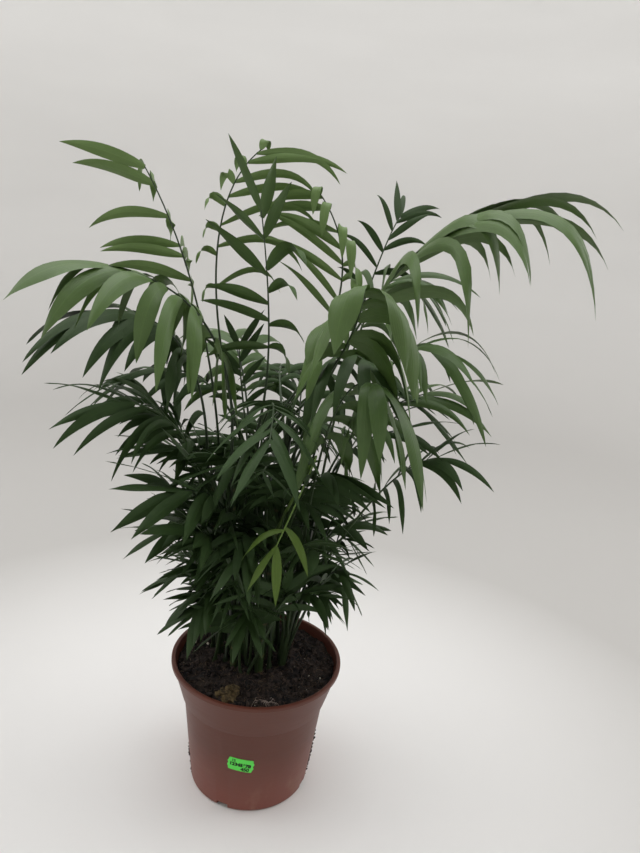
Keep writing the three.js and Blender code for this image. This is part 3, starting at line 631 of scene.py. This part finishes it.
def make_sticker():
    """A label with clipped, wavy ends that follows the wall, and plain numbers on it."""
    def on_wall(x, y, rise):
        tilt = math.radians(STICKER.tilt)
        x, y = x * math.cos(tilt) - y * math.sin(tilt), x * math.sin(tilt) + y * math.cos(tilt)
        z = STICKER.middle + y
        turn = math.degrees(x / wall_radius(STICKER.middle))
        return Vector(MM * polar(STICKER.heading + turn, wall_radius(z) + STICKER.lift + rise, z))

    half_width, half_height = STICKER.width / 2, STICKER.height / 2
    bm = bmesh.new()
    bmesh.ops.create_grid(bm, x_segments=STICKER.columns, y_segments=STICKER.rows, size=1)
    for v in bm.verts:
        wave = STICKER.wave * (1 + math.cos(STICKER.waves * math.pi * v.co.y))
        ends = half_width - STICKER.clip * abs(v.co.y) ** STICKER.clip_power - wave
        v.co = Vector((v.co.x * ends, v.co.y * half_height, 0))
    bmesh.ops.solidify(bm, geom=bm.faces, thickness=-STICKER.thickness)
    bmesh.ops.recalc_face_normals(bm, faces=bm.faces)
    low = min(v.co.z for v in bm.verts)
    for v in bm.verts:
        v.co = on_wall(v.co.x, v.co.y, v.co.z - low)
    add_piece("price_label", mesh_of(bm, "price_label"), sticker_paper(), ["price_sticker"])

    ink = grain("label_ink", (14, 24, 12), (24, 40, 20), 900, 0.6)
    face = STICKER.thickness + LABEL_INK.rise
    bm = bmesh.new()
    for digits, size, x0, y0, weight in LABEL_ROWS:
        words = bpy.data.curves.new("digits", "FONT")
        words.body, words.size, words.extrude, words.offset = digits, size, LABEL_INK.thickness, weight
        holder = linked("digits", words)
        mesh = shaped_mesh(holder)
        bpy.data.objects.remove(holder)
        for v in mesh.vertices:
            v.co = on_wall(v.co.x + x0, v.co.y + y0, v.co.z + face)
        bm.from_mesh(mesh)
    add_piece("label_numbers", mesh_of(bm, "label_numbers"), ink)


# ---------------- soil
def soil_height(x, y):
    lumps = noise.noise(Vector((x, y, 3)) / SOIL.lump_pitch)
    clods = 0.5 - noise.voronoi(Vector((x, y, 5)) / SOIL.clod_pitch)[0][0]
    crumbs = noise.noise(Vector((x, y, 9)) / SOIL.crumb_pitch)
    return (SOIL.level + SOIL.heap + SOIL.lump_height * lumps + SOIL.clod_height * clods
            + SOIL.crumb_height * crumbs)


def make_soil():
    clear = POT.wall + SOIL.clear
    foot, rise, edge = POT.collar_foot_height, POT.step_rise, SOIL.edge_level
    top_reach = collar_radius(edge) - clear
    top = [(r, edge) for r in np.arange(top_reach - SOIL.first_ring, 0, -SOIL.ring_pitch)]
    bm = spun_shell([
        (0, clear), (wall_radius(clear) - clear - SOIL.foot_bevel, clear),
        (wall_radius(foot - rise) - clear, foot - rise / 2),
        (collar_radius(foot + 2 * rise) - clear, foot + 2 * rise), (top_reach, edge - SOIL.edge_depth),
        *top, (0, edge),
    ], SOIL.steps)
    for v in bm.verts:
        if v.co.z > MM * (edge - SOIL.edge_depth / 2):
            v.co.z = MM * soil_height(v.co.x / MM, v.co.y / MM)
    add_piece("potting_mix", mesh_of(bm, "potting_mix", 80), potting_soil(), ["soil"])


def plain_batch(faces, points):
    """A batch without shares or tints of its own."""
    points = np.array(points)
    return faces, points, np.zeros((*points.shape[:2], 2)), np.zeros(len(points))


def lump_batch(places, sizes, draws):
    """Rough little lumps at places, as one batch."""
    bm = bmesh.new()
    bmesh.ops.create_icosphere(bm, subdivisions=1, radius=1)
    ball = np.array([v.co for v in bm.verts])
    faces = [np.array([[v.index for v in f.verts] for f in bm.faces])]
    bm.free()
    points = []
    for place, size in zip(places, sizes):
        rough = ball * np.array([[draws.between(*LUMP.roughness)] for _ in ball])
        turn = (Matrix.Rotation(draws.between(0, FULL_TURN), 3, "Z")
                @ Matrix.Rotation(draws.between(0, FULL_TURN), 3, "X"))
        scale = np.array([draws.between(*LUMP.lengths), 1, LUMP.flatness])
        points.append(place + size * (rough * scale) @ np.array(turn).T)
    return plain_batch(faces, points)


def on_soil(x, y, rise):
    return np.array([x, y, soil_height(x, y) + rise])


def spot(draws, reach=SOIL.reach):
    heading, share = draws.between(0, 360), draws.between(0, 1)
    return polar(heading, reach * math.sqrt(share))[:2]


def fibre_batch(fibres):
    """Thin bent fibres that lie on the soil round a middle."""
    draws = Draws(fibres.seed)
    feet = [fibres.middle + spot(draws, fibres.reach) * fibres.squash for _ in range(fibres.count)]
    lengths = [draws.between(*fibres.lengths) for _ in feet]
    rings, sides = FIBRE.rings, FIBRE.sides
    points = []
    for foot, length in zip(feet, lengths):
        heading, bend = draws.between(0, 360), draws.spread(FIBRE.bend)
        climb = draws.between(*FIBRE.climbs)
        line = [np.array([*foot, 0.0])]
        for k in range(rings):
            line.append(line[-1] + polar(heading + bend * k, length / rings))
        line = np.array([on_soil(x, y, FIBRE.rise + climb * math.sin(math.pi * k / rings))
                         for k, (x, y, _) in enumerate(line)])
        along = unit(np.gradient(line, axis=0))
        right = square_to(np.tile(UP, (len(line), 1)), along)
        upper = np.cross(right, along)
        angles = 2 * math.pi * np.arange(sides) / sides
        ring = right[:-1, None] * np.cos(angles)[:, None] + upper[:-1, None] * np.sin(angles)[:, None]
        skin = line[:-1, None] + fibres.radius * ring
        points.append(np.concatenate([skin.reshape(-1, 3), line[-1:]]))
    return plain_batch(skin_faces(rings, sides), points)


def add_litter(name, batch, material, sharp=LUMP.sharp):
    add_piece(name, joined_mesh(name, [batch], sharp), material)


def make_soil_litter():
    draws = Draws(CRUMBS.seed)
    spots = [spot(draws) for _ in range(CRUMBS.count)]
    sizes = [lerp(*CRUMBS.sizes, draws.between(0, 1) ** CRUMBS.smallness) for _ in spots]
    places = [on_soil(*p, CRUMBS.rise * s) for p, s in zip(spots, sizes)]
    crumb = grain("soil_crumbs", (20, 20, 22), (73, 62, 56), 160)
    add_litter("soil_crumbs", lump_batch(places, sizes, draws), crumb)

    brown = grain("coir_fibres", (64, 52, 42), (126, 106, 86), 300)
    add_litter("coir_fibres", fibre_batch(FIBRES), brown, None)
    pale = grain("pale_fibres", (150, 132, 122), (190, 176, 168), 300)
    add_litter("pale_fibres", fibre_batch(PALE_FIBRES), pale, None)

    draws = Draws(PERLITE.seed)
    spots = [p for p, _ in PERLITE_AT] + [spot(draws) for _ in range(PERLITE.count)]
    sizes = [s for _, s in PERLITE_AT] + [draws.between(*PERLITE.sizes) for _ in range(PERLITE.count)]
    places = [on_soil(*p, PERLITE.rise * s) for p, s in zip(spots, sizes)]
    white = grain("perlite", (196, 188, 172), (228, 222, 208), 500, 0.8)
    add_litter("perlite_grains", lump_batch(places, sizes, draws), white)

    draws = Draws(BARK.seed)
    places, sizes = [], []
    for middle, radius, height in BARK.lobes:
        for _ in range(BARK.count):
            reach = draws.between(0, 1) ** 0.5
            x, y = np.array(middle) + polar(draws.between(0, 360), radius * reach)[:2]
            places.append(on_soil(x, y, height * (1 - reach ** BARK.roundness) * draws.between(*BARK.layers)))
            sizes.append(draws.between(*BARK.sizes))
    clump = grain("bark_clump", (54, 46, 33), (114, 97, 67), 240)
    add_litter("bark_clump", lump_batch(places, sizes, draws), clump)

    draws = Draws(POT_CRUMBS.seed)
    places, sizes = [], []
    for heading, spread, low, high, count in POT_CRUMBS.sides:
        for _ in range(count):
            z = draws.between(low, high)
            radius = wall_radius(z) if z < POT.collar_foot_height else collar_radius(z)
            places.append(polar(heading + draws.spread(spread), radius + POT_CRUMBS.proud, z))
            sizes.append(lerp(*POT_CRUMBS.sizes, draws.between(0, 1) ** POT_CRUMBS.smallness))
    add_litter("pot_crumbs", lump_batch(places, sizes, draws), crumb)


# ---------------- canes and ribs: the palm's own rule
def cane_axes():
    canes = []
    for ring in CANE_RINGS:
        for k, length in enumerate(ring.lengths):
            heading = ring.heading + 360 * k / len(ring.lengths)
            foot = polar(heading, ring.radius, SOIL.level + CANE.gap) + CLUMP
            lean = math.radians(ring.lean)
            direction = polar(heading, math.sin(lean), math.cos(lean))
            canes.append(Sizes(foot=foot, heading=heading, length=length, direction=direction))
    return canes


def cane_radius(share):
    return lerp(CANE.foot_radius, CANE.tip_radius, share)


def cane_point(cane, share):
    return cane.foot + cane.direction * share * cane.length


def shoots(canes):
    """Young stems that stand in the soil where the canes leave room."""
    draws = Draws(SHOOTS.seed)
    feet = [cane.foot for cane in canes]
    found = []
    while len(found) < SHOOTS.count:
        heading = draws.between(0, 360)
        reach = lerp(*SHOOTS.radii, math.sqrt(draws.between(0, 1)))
        foot = polar(heading, reach, SOIL.level + CANE.gap) + CLUMP
        if min(np.linalg.norm(foot - other) for other in feet) < SHOOTS.spacing:
            continue
        feet.append(foot)
        found.append(Sizes(foot=foot, heading=heading, length=SHOOTS.length, direction=UP))
    return found


def mid_and_tip(heading, mid_reach, mid_height, reach, height):
    """Middle and tip of a frond that runs out from the clump's middle."""
    return polar(heading, mid_reach, mid_height) + CLUMP, polar(heading, reach, height) + CLUMP


def held_back(reach, share, heading):
    """Reach, cut down to a share of it where the heading is to the front."""
    return reach * lerp(1, share, max(0.0, -math.sin(math.radians(heading))))


def inner_fronds(canes):
    first = len(CANE_RINGS[0].lengths)
    number = len(canes) - first
    return [new_frond(
        f"inner_{k + 1}", first + k, INNER.share,
        *mid_and_tip(INNER.heading + 360 * k / number, INNER.mid_reach, INNER.height + INNER.rise,
                     INNER.reach, INNER.height),
        INNER.bare, INNER.pairs, INNER.leaf, INNER.droop, tone=INNER.tone,
    ) for k in range(number)]


def short_fronds(canes):
    draws = Draws(SHORT.seed)
    fronds = []
    for c, cane in enumerate(canes[:len(CANE_RINGS[0].lengths)]):
        for k, at in enumerate(SHORT.shares):
            heading = cane.heading + SHORT.turns[k] + draws.spread(SHORT.turn_jitter)
            reach = SHORT.reaches[k] + draws.spread(SHORT.reach_jitter)
            reach = held_back(reach, SHORT.front_reach, heading)
            height = SHORT.heights[k] + draws.spread(SHORT.height_jitter)
            root = cane_point(cane, at) - CLUMP
            mid_reach = lerp(math.hypot(root[0], root[1]), reach, SHORT.mid_share)
            fronds.append(new_frond(
                f"short_{c + 1}{SHORT.suffixes[k]}", c, at,
                *mid_and_tip(heading, mid_reach, (root[2] + height) / 2 + SHORT.rise, reach, height),
                SHORT.bare, SHORT.pairs, SHORT.leaves[k], SHORT.droop))
    return fronds


def fill_fronds(canes):
    draws = Draws(FILL.seed)
    heights, reaches = zip(*CLUMP_REACH)
    fronds = []
    for n in range(FILL.count):
        c = n % len(canes)
        is_shoot = canes[c].length == SHOOTS.length
        at = SHOOTS.share if is_shoot else draws.between(*FILL.shares)
        root = cane_point(canes[c], at) - CLUMP
        heading = canes[c].heading + draws.spread(FILL.turn)
        height = min(FILL.top, root[2] + draws.between(*FILL.heights))
        reach = float(np.interp(height, heights, reaches)) * draws.between(*FILL.reaches)
        reach = held_back(reach, FILL.front_reach, heading)
        mid_reach = lerp(math.hypot(root[0], root[1]), reach, FILL.mid_share)
        mid_height = lerp(root[2], height, FILL.mid_height) + draws.between(*FILL.rise)
        length = draws.between(*FILL.lengths)
        fronds.append(new_frond(
            f"fill_{n + 1}", c, at, *mid_and_tip(heading, mid_reach, mid_height, reach, height),
            draws.between(*FILL.bare), FILL.pairs, (length, length * draws.between(*FILL.slimness)),
            draws.between(*FILL.droop), lift=draws.between(*FILL.lifts),
            roll=draws.spread(FILL.rolls), filling=True, tone="leaf_shade"))
    return fronds


def completed(frond, number):
    """Fills in what a frond leaves unsaid: unless told otherwise its blade lies level across its heading."""
    mid, tip = np.array(frond["mid"], float), np.array(frond["tip"], float)
    dx, dy = (tip - mid)[:2]
    across = math.degrees(math.atan2(dy, dx)) - 90 + frond.get("roll", 0)
    return {**FROND, "across": across, "seed": number + 1, **frond, "mid": mid, "tip": tip}


def rib_foot(frond, cane):
    axis = cane_point(cane, frond["at"])
    away = (frond["mid"] - axis) * (1, 1, 0)
    return axis + unit(away) * (cane_radius(frond["at"]) + CANE.gap + RIB.foot_radius)


def rib_curve(frond, foot):
    """The rib is one quadratic curve from its foot through mid to tip."""
    return foot, 2 * frond["mid"] - foot / 2 - frond["tip"] / 2, frond["tip"]


def curve_points(curve, shares):
    t = np.atleast_1d(shares)[:, None]
    return (1 - t) ** 2 * curve[0] + 2 * t * (1 - t) * curve[1] + t * t * curve[2]


def curve_tangents(curve, shares):
    t = np.atleast_1d(shares)[:, None]
    return unit((1 - t) * (curve[1] - curve[0]) + t * (curve[2] - curve[1]))


def turned(frond, cane, degrees):
    def spin(place):
        return cane.foot + turned_about(place - cane.foot, UP, degrees)
    across = frond["across"] + degrees
    return {**frond, "mid": spin(frond["mid"]), "tip": spin(frond["tip"]), "across": across}


def settle_ribs(fronds, canes):
    """Turns each rib about its cane, a step at a time to either hand, until it passes the other limbs. A
    plain frond of the filling that finds no room is left out."""
    shares = np.arange(RIB.samples + 1) / RIB.samples
    rib_radii = lerp(RIB.foot_radius, RIB.tip_radius, shares)
    cane_limbs = [(np.array([cane_point(c, s) for s in shares]), cane_radius(shares)) for c in canes]
    ribs, settled = [], []

    def passes(points, other):
        gaps = np.linalg.norm(points[:, None] - other[0][None], axis=2)
        return bool((gaps > rib_radii[:, None] + other[1][None] + RIB.clearance).all())

    for frond in fronds:
        cane = canes[frond["cane"]]
        others = cane_limbs[:frond["cane"]] + cane_limbs[frond["cane"] + 1:] + ribs
        for attempt in range(FILL.tries if frond.get("filling") else RIB.turn_tries):
            turn = RIB.turn_step * math.ceil(attempt / 2) * (1 if attempt % 2 else -1)
            candidate = turned(frond, cane, turn)
            curve = rib_curve(candidate, rib_foot(candidate, cane))
            points = curve_points(curve, shares)
            if all(passes(points, other) for other in others):
                ribs.append((points, rib_radii))
                settled.append({**candidate, "curve": curve})
                break
    return settled, cane_limbs + ribs


# ---------------- leaflets
def leaflet_habit(frond, q, side, tangent, draws, turn, shorten):
    """Where a leaflet starts out, and how long, wide and limp it is. q runs from the first pair to the
    last."""
    right = turned_about(square_to(polar(frond["across"], 1), tangent), tangent, frond["bank"])
    upper = np.cross(right, tangent)
    angle = math.radians(lerp(*frond["spread"], q ** LEAFLET.spread_power) + draws["angle"] + turn)
    lift = math.radians(frond["lift"] + draws["lift"])
    start = (tangent * math.cos(angle) + right * side * math.sin(angle) * math.cos(lift)
             + upper * math.sin(angle) * math.sin(lift))
    length, width = frond["leaf"]
    hand = 0 if side > 0 else 1
    length *= frond["sides"][hand]
    length_share = swelling(LEAFLET.first_length, frond["end"], LEAFLET.length_swell, q)
    return dict(
        start=start,
        across=turned_about(square_to(tangent, start), start, side * LEAFLET.cant),
        length=length * length_share * (1 + draws["length"]) * shorten,
        width=width * swelling(LEAFLET.first_width, 1, LEAFLET.width_swell, q) * (1 + draws["width"]),
        bend=frond["bend"],
        sweep=tangent * LEAFLET.sweep,
        droop=frond["droop"] * frond["limp"][hand] * (1 + draws["droop"]) * lerp(1, frond["last_droop"], q),
    )


def leaflet_line(root, habit, stations):
    """The middle of a leaflet from its root to its tip, with its direction there."""
    step = (np.arange(stations) + 0.5) / stations
    pull = LEAFLET.droop_pull * habit["droop"] * step ** habit["bend"]
    directions = unit(habit["start"] + step[:, None] * habit["sweep"] - pull[:, None] * UP)
    points = root + np.cumsum(np.vstack([np.zeros(3), directions * habit["length"] / stations]), axis=0)
    return points, np.vstack([directions[:1], (directions[:-1] + directions[1:]) / 2, directions[-1:]])


def blade_outline(shares):
    """Width of a leaflet as a share of its widest: full near the middle and long drawn out at the tip."""
    power = LEAFLET.fullness + LEAFLET.taper * shares
    body = np.sin(math.pi * shares ** LEAFLET.widest_at) ** power
    return np.maximum(body, LEAFLET.root_share * (1 - shares) ** 2)


def leaflet_blade(points, directions, habit, side, draws, section):
    """Rings of a thin blade that is folded along its midrib, then its tip."""
    stations = len(points) - 1
    shares = np.arange(stations) / stations
    along = unit(directions[:-1])
    across = square_to(np.tile(habit["across"], (stations, 1)), along)
    upper = side * np.cross(along, across)
    twist = np.radians(draws["twist"] * shares)[:, None]
    across, upper = (across * np.cos(twist) + upper * np.sin(twist),
                     upper * np.cos(twist) - across * np.sin(twist))
    half = (habit["width"] / 2 * blade_outline(shares))[:, None, None]
    fold = math.radians(LEAFLET.fold + draws["fold"])
    s, face = (np.array(column, float)[None, :, None] for column in zip(*section))
    ripples = np.sin(draws["wave"] + LEAFLET.ripple_turn * shares)[:, None, None]
    wave = LEAFLET.ripple * habit["width"] * ripples * s * abs(s)
    height = -abs(s) * half * math.sin(fold) + wave + face * LEAFLET.thickness / 2 * (LEAFLET.midrib - abs(s))
    rings = points[:-1, None] + across[:, None] * s * half * math.cos(fold) + upper[:, None] * height
    if side < 0:
        rings = rings[:, ::-1]
    return np.concatenate([rings.reshape(-1, 3), points[-1:]])


def blade_shares(stations, section, side):
    """Where each point of a blade lies across and along it, from 0 to 1."""
    places = [s for s, _ in (section if side > 0 else section[::-1])]
    grid = [[(s + 1) / 2, k / stations] for k in range(stations) for s in places]
    return np.array(grid + [[0.5, 1.0]])


def clears_limbs(points, limbs, own):
    """Whether the outer part of a leaflet's middle line stays off the canes and the other ribs."""
    outer = points[len(points) // 4:]
    for n, (line, radii, low, high) in enumerate(limbs):
        if n == own or (outer.max(0) < low).any() or (outer.min(0) > high).any():
            continue
        gaps = np.linalg.norm(outer[:, None] - line[None], axis=2)
        if (gaps < radii[None] + RIB.clearance).any():
            return False
    return True


def grow_leaflets(frond, number, limbs, fine):
    """Every leaflet of a frond: its blade's points, the shares across and along it, and its tint."""
    random = Draws(frond["seed"])
    jitter = LEAFLET.jitter
    stations = FINE_STATIONS if fine else PLAIN_STATIONS
    section = FINE_SECTION if fine else PLAIN_SECTION
    pairs = frond["pairs"]
    frond_tint = random.spread(LEAFLET.tint)
    leaflets = []
    for pair in range(pairs):
        for side in (1, -1):
            q = (pair + random.spread(jitter["offset"])) / (pairs - 1)
            q = min(max(q, 0.0), 1.0)
            draws = {key: random.spread(jitter[key]) for key in jitter if key != "offset"}
            draws.update(twist=random.spread(LEAFLET.twist), wave=random.between(0, FULL_TURN))
            share = lerp(frond["bare"], frond["last"], q)
            root, tangent = curve_points(frond["curve"], share)[0], curve_tangents(frond["curve"], share)[0]
            for turn, shorten in LEAFLET.tries:
                habit = leaflet_habit(frond, q, side, tangent, draws, turn, shorten)
                points, directions = leaflet_line(root, habit, stations)
                if points[-1][2] > LEAFLET.lowest and clears_limbs(points, limbs, number):
                    blade = leaflet_blade(points, directions, habit, side, draws, section)
                    tint = max(-1.0, min(1.0, frond_tint + random.spread(LEAFLET.tint)))
                    leaflets.append((blade, blade_shares(stations, section, side), tint))
                    break
    return leaflets


# ---------------- stalks
def stalk_skin_points(frond, cane):
    """A stalk that leaves its cane as a sheath wrapped half round it and thins out along the rib."""
    shares = np.linspace(0, 1, STALK.rings) ** STALK.crowding * frond["last"]
    points = curve_points(frond["curve"], shares)
    axis = cane_point(cane, frond["at"])
    out = unit((points[0] - axis) * (1, 1, 0))
    above_soil = frond["at"] * cane.length
    drop = min(STALK.sheath, above_soil + STALK.below_soil)
    steps = np.linspace(1, 0, STALK.sheath_rings + 1)[:-1]
    hug = cane_radius(frond["at"]) + STALK.off_cane
    offs = lerp(hug + STALK.belly, hug, steps ** 0.5)
    lower = np.array([axis - cane.direction * drop * s + out * off for s, off in zip(steps, offs)])
    line = np.vstack([lower, points])
    along = unit(np.gradient(line, axis=0))
    wrap = np.concatenate([steps, np.zeros(len(points))])
    travel = np.concatenate([np.zeros(len(lower)), shares])
    radius = lerp(STALK.foot_radius, STALK.tip_radius, travel ** STALK.thinning)
    side = square_to(np.tile(np.cross(out, UP), (len(line), 1)), along)
    outward = np.cross(along, side)
    outward *= np.sign((outward * out).sum(-1, keepdims=True) + 1e-9)
    side = np.cross(outward, along)
    angles = 2 * math.pi * np.arange(STALK.sides) / STALK.sides
    ends_in_soil = drop > above_soil
    closing = 1 if ends_in_soil else np.sqrt(1 - STALK.closing * wrap ** STALK.closing_power)
    wings = STALK.wing * wrap ** STALK.wing_power * (1 - STALK.wing_loss * wrap)
    wide = radius * (1 + wings) * closing
    sideways = np.cos(angles)[None] * wide[:, None]
    depth = np.sin(angles)[None] * (radius * (1 - STALK.flatness * wrap))[:, None]
    depth = depth - STALK.wrap * (wrap[:, None] ** 0.5) * (sideways / STALK.wrap_width) ** 2
    rings = line[:, None] + side[:, None] * sideways[..., None] + outward[:, None] * depth[..., None]
    shares_grid = np.stack(np.meshgrid(np.arange(STALK.sides) / STALK.sides, travel), -1).reshape(-1, 2)
    tip = line[-1] + along[-1] * STALK.tip
    return np.concatenate([rings.reshape(-1, 3), tip[None]]), np.vstack([shares_grid, [0.5, 1.0]])


def make_cane(cane, number):
    """A ringed cane: a tapered rod with a swelling at each node."""
    depth = MM * cane.length
    bm = bmesh.new()
    bmesh.ops.create_cone(bm, cap_ends=True, segments=CANE.sides, radius1=MM * CANE.foot_radius,
                          radius2=MM * CANE.tip_radius, depth=depth)
    long_edges = [e for e in bm.edges if abs(e.verts[0].co.z - e.verts[1].co.z) > depth / 2]
    cuts = round(cane.length / CANE.pitch)
    bmesh.ops.subdivide_edges(bm, edges=long_edges, cuts=cuts, use_grid_fill=True)
    ring = bm.verts.layers.float.new("ring")
    upright = Vector((0, 0, 1)).rotation_difference(Vector(cane.direction))
    pitch = CANE.node_pitch
    for v in bm.verts:
        height = (v.co.z + depth / 2) / MM
        nearest = abs((height + number * CANE.node_shift + pitch / 2) % pitch - pitch / 2)
        swell = math.exp(-(nearest / CANE.node_width) ** 2)
        v[ring] = swell
        wide = 1 + CANE.node_swell * swell
        place = upright @ Vector((v.co.x * wide, v.co.y * wide, MM * height))
        sunk = CANE.sunk if height < CANE.pitch / 2 else 0
        v.co = Vector(MM * cane.foot) + place - Vector((0, 0, MM * sunk))
    return mesh_of(bm, f"ringed_cane_{number}", 60)


# ---------------- the whole palm
# Screen colour, roughness and sheen of each leaf green. The greens are partly the leaves' own, young ones
# paler and old ones
# darker, and partly painted light: the upper fronds' greens are painted lighter for light from above, and the
# low and inner fronds' greens are painted darker for the shade inside the clump.
TONES = {
    "leaf_bright_painted_lit": ((104, 131, 72), 0.43, 0.42),
    "leaf_upper_painted_lit": ((78, 104, 50), 0.42, 0.44),
    "leaf_green": ((68, 94, 43), 0.42, 0.42),
    "leaf_deep_painted_shade": ((50, 71, 36), 0.5, 0.22),
    "leaf_shade": ((51, 71, 39), 0.52, 0.16),
    "leaf_young": ((84, 109, 41), 0.46, 0.3),
}
# Name, leaf greens that it carries, dark and pale screen colour of each piece of stalks.
STALKS = [
    ("green_stalks", ("leaf_bright_painted_lit", "leaf_upper_painted_lit", "leaf_green", "leaf_deep_painted_shade", "leaf_shade"),
     (30, 46, 26), (58, 78, 42)),
    ("young_stalk", ("leaf_young",), (84, 112, 44), (110, 140, 60)),
]


def make_canes(canes):
    skin = cane_skin()
    for number, cane in enumerate(canes, 1):
        add_piece(f"ringed_cane_{number}", make_cane(cane, number), skin, [f"cane_{number}"])


def leaflet_batch(fronds, members, limbs, first, fine):
    """The leaflets of the fine fronds or of the plain ones, as one batch, or none."""
    leaflets = [leaf for n in members if fronds[n].get("filling", False) != fine
                for leaf in grow_leaflets(fronds[n], first + n, limbs, fine)]
    if not leaflets:
        return []
    blades, shares, tints = (np.array(column) for column in zip(*leaflets))
    stations, section = (FINE_STATIONS, FINE_SECTION) if fine else (PLAIN_STATIONS, PLAIN_SECTION)
    return [(skin_faces(stations, len(section)), blades, shares, tints)]


def make_leaves(fronds, nodes, limbs, first):
    """One piece for each leaf green. nodes are the names of the fronds that the pieces stand for, and first
    is the number of limbs before the ribs."""
    for tone, look in TONES.items():
        members = [n for n, f in enumerate(fronds) if f["tone"] == tone]
        batches = [batch for fine in (True, False)
                   for batch in leaflet_batch(fronds, members, limbs, first, fine)]
        stood_for = [f"frond_{fronds[n]['name']}" for n in members if fronds[n]["name"] in nodes]
        mesh = joined_mesh(f"{tone}_leaflets", batches, sharp=50)
        add_piece(f"{tone}_leaflets", mesh, leaf_skin(tone, *look), stood_for)


def make_stalks(fronds, canes):
    for name, tones, dark, pale in STALKS:
        own = [f for f in fronds if f["tone"] in tones]
        stalks = [stalk_skin_points(f, canes[f["cane"]]) for f in own]
        points, shares = (np.array(column) for column in zip(*stalks))
        faces = skin_faces(STALK.rings + STALK.sheath_rings, STALK.sides)
        tints = np.array([Draws(f["seed"] + STALK.seed).spread(1) for f in own])
        mesh = joined_mesh(name, [(faces, points, shares, tints)])
        add_piece(name, mesh, stalk_skin(name, dark, pale))


def make_palm():
    canes = cane_axes()
    make_canes(canes)
    plain = [completed(f, n) for n, f in enumerate([*FRONDS, *inner_fronds(canes), *short_fronds(canes)])]
    nodes = {f["name"] for f in plain}
    plain += [completed(f, len(plain) + n) for n, f in enumerate(EXTRA_FRONDS)]
    canes += shoots(canes)
    filling = [completed(f, len(plain) + n) for n, f in enumerate(fill_fronds(canes))]
    fronds, limbs = settle_ribs(plain + filling, canes)
    boxed = [(line, radii, line.min(0) - LIMB_ROOM, line.max(0) + LIMB_ROOM) for line, radii in limbs]
    make_leaves(fronds, nodes, boxed, len(canes))
    make_stalks(fronds, canes)


# ---------------- studio
# In metres. near are the reaches from the pot between which the paper darkens, high those between which it
# brightens again as it
# climbs the wall: both are painted light and shade, not the paper's own colour.
STAGE = Sizes(floor_radius=1.25, wall_radius=2.0, wall_height=4.2, steps=96, bend_steps=24,
              near=(0.14, 0.6), high=(1.5, 3.1))
# Name, place, what it points at, width and watts of each lamp; ROOM_GLOW is the strength of the white room.
LIGHTS = [
    ("overhead", (-0.1, 0.25, 2.3), (0, 0, 0.2), 2.4, 30.5),
    ("left_window", (-1.6, 0.2, 1.4), (0, 0, 0.3), 1.4, 7),
    ("right_window", (1.6, 0.3, 1.4), (0, 0, 0.3), 1.4, 8),
]
ROOM_GLOW = 0.46
CAMERA = dict(place=(0, -0.613, 0.551), pitch=-15.5, yaw=3.95, roll=5.3, focal=690, image_height=853,
              sensor=36)


def make_stage():
    """A pale floor that curves up into a round wall."""
    floor, wall = STAGE.floor_radius / MM, STAGE.wall_radius / MM
    bend = wall - floor
    arc = [(floor + bend * math.sin(a), bend - bend * math.cos(a))
           for a in np.linspace(0, math.pi / 2, STAGE.bend_steps)]
    bm = spun([(0, 0), *arc, (wall, STAGE.wall_height / MM)], STAGE.steps)
    mesh = plain_mesh(bm, "backdrop")
    mesh.shade_smooth()
    mesh.materials.append(backdrop_paper())
    backdrop = linked("backdrop", mesh)


def backdrop_paper():
    """Pale matt paper with painted light and shade: lighter round the pot and high up the wall, darker in
    between, with painted shade of soft folds away from the pot.
    """
    paper = Finish("backdrop_paper", Roughness=0.95, Specular_IOR_Level=0.1)
    own = paper.place()
    level = {0: paper.place((1, 1, 0))}
    reach = paper.node("ShaderNodeVectorMath", {"operation": "LENGTH"}, level, output="Value")
    climb = paper.axis(own, "Z")
    # painted light: darker low on the far floor and wall, lighter as the wall climbs, for light from above
    painted_wall_light = paper.mix(paper.ramp(reach + climb, *STAGE.high), linear(190, 188, 185), linear(232, 231, 229))
    # painted shade of soft folds, in streaks up the wall
    painted_fold_shade = paper.noise(1.6, 2, stretch=(1, 1, 4))
    shaded = paper.mix(painted_fold_shade * 0.2, painted_wall_light, linear(176, 174, 172))
    # painted light: the paper is mixed lighter round the pot, against the plant's own shadow
    paper.wear(Base_Color=paper.mix(paper.ramp(reach, *STAGE.near), linear(243, 242, 241), shaded))
    return paper.material


def area_light(name, place, target, size, watts):
    light = bpy.data.lights.new(name, "AREA")
    light.shape, light.size, light.energy = "DISK", size, watts
    holder = linked(name, light)
    holder.location = place
    holder.rotation_euler = (Vector(target) - Vector(place)).to_track_quat("-Z", "Y").to_euler()


def make_lights():
    for light in LIGHTS:
        area_light(*light)
    world = bpy.data.worlds.new("room")
    world.use_nodes = True
    glow = world.node_tree.nodes["Background"].inputs
    glow["Color"].default_value, glow["Strength"].default_value = (1, 1, 1, 1), ROOM_GLOW
    bpy.context.scene.world = world


def make_camera():
    """Looks a little down at the pot, turned a little to the right and rolled."""
    pitch, yaw, roll = (math.radians(CAMERA[key]) for key in ("pitch", "yaw", "roll"))
    ahead = Vector((math.sin(yaw) * math.cos(pitch), math.cos(yaw) * math.cos(pitch), math.sin(pitch)))
    level = Vector((math.cos(yaw), -math.sin(yaw), 0))
    right = math.cos(roll) * level + math.sin(roll) * level.cross(ahead)
    upper = right.cross(ahead)
    turn = Matrix((right, upper, -ahead)).transposed()
    data = bpy.data.cameras.new("camera")
    data.sensor_width = CAMERA["sensor"]
    data.lens = CAMERA["focal"] / CAMERA["image_height"] * CAMERA["sensor"]
    data.clip_start = 0.01
    camera = linked("camera", data)
    camera.matrix_world = Matrix.Translation(CAMERA["place"]) @ turn.to_4x4()
    bpy.context.scene.camera = camera


make_camera()
make_stage()
make_lights()
make_pot()
make_sticker()
make_soil()
make_soil_litter()
make_palm()
bpy.context.scene.view_settings.view_transform = "Standard"
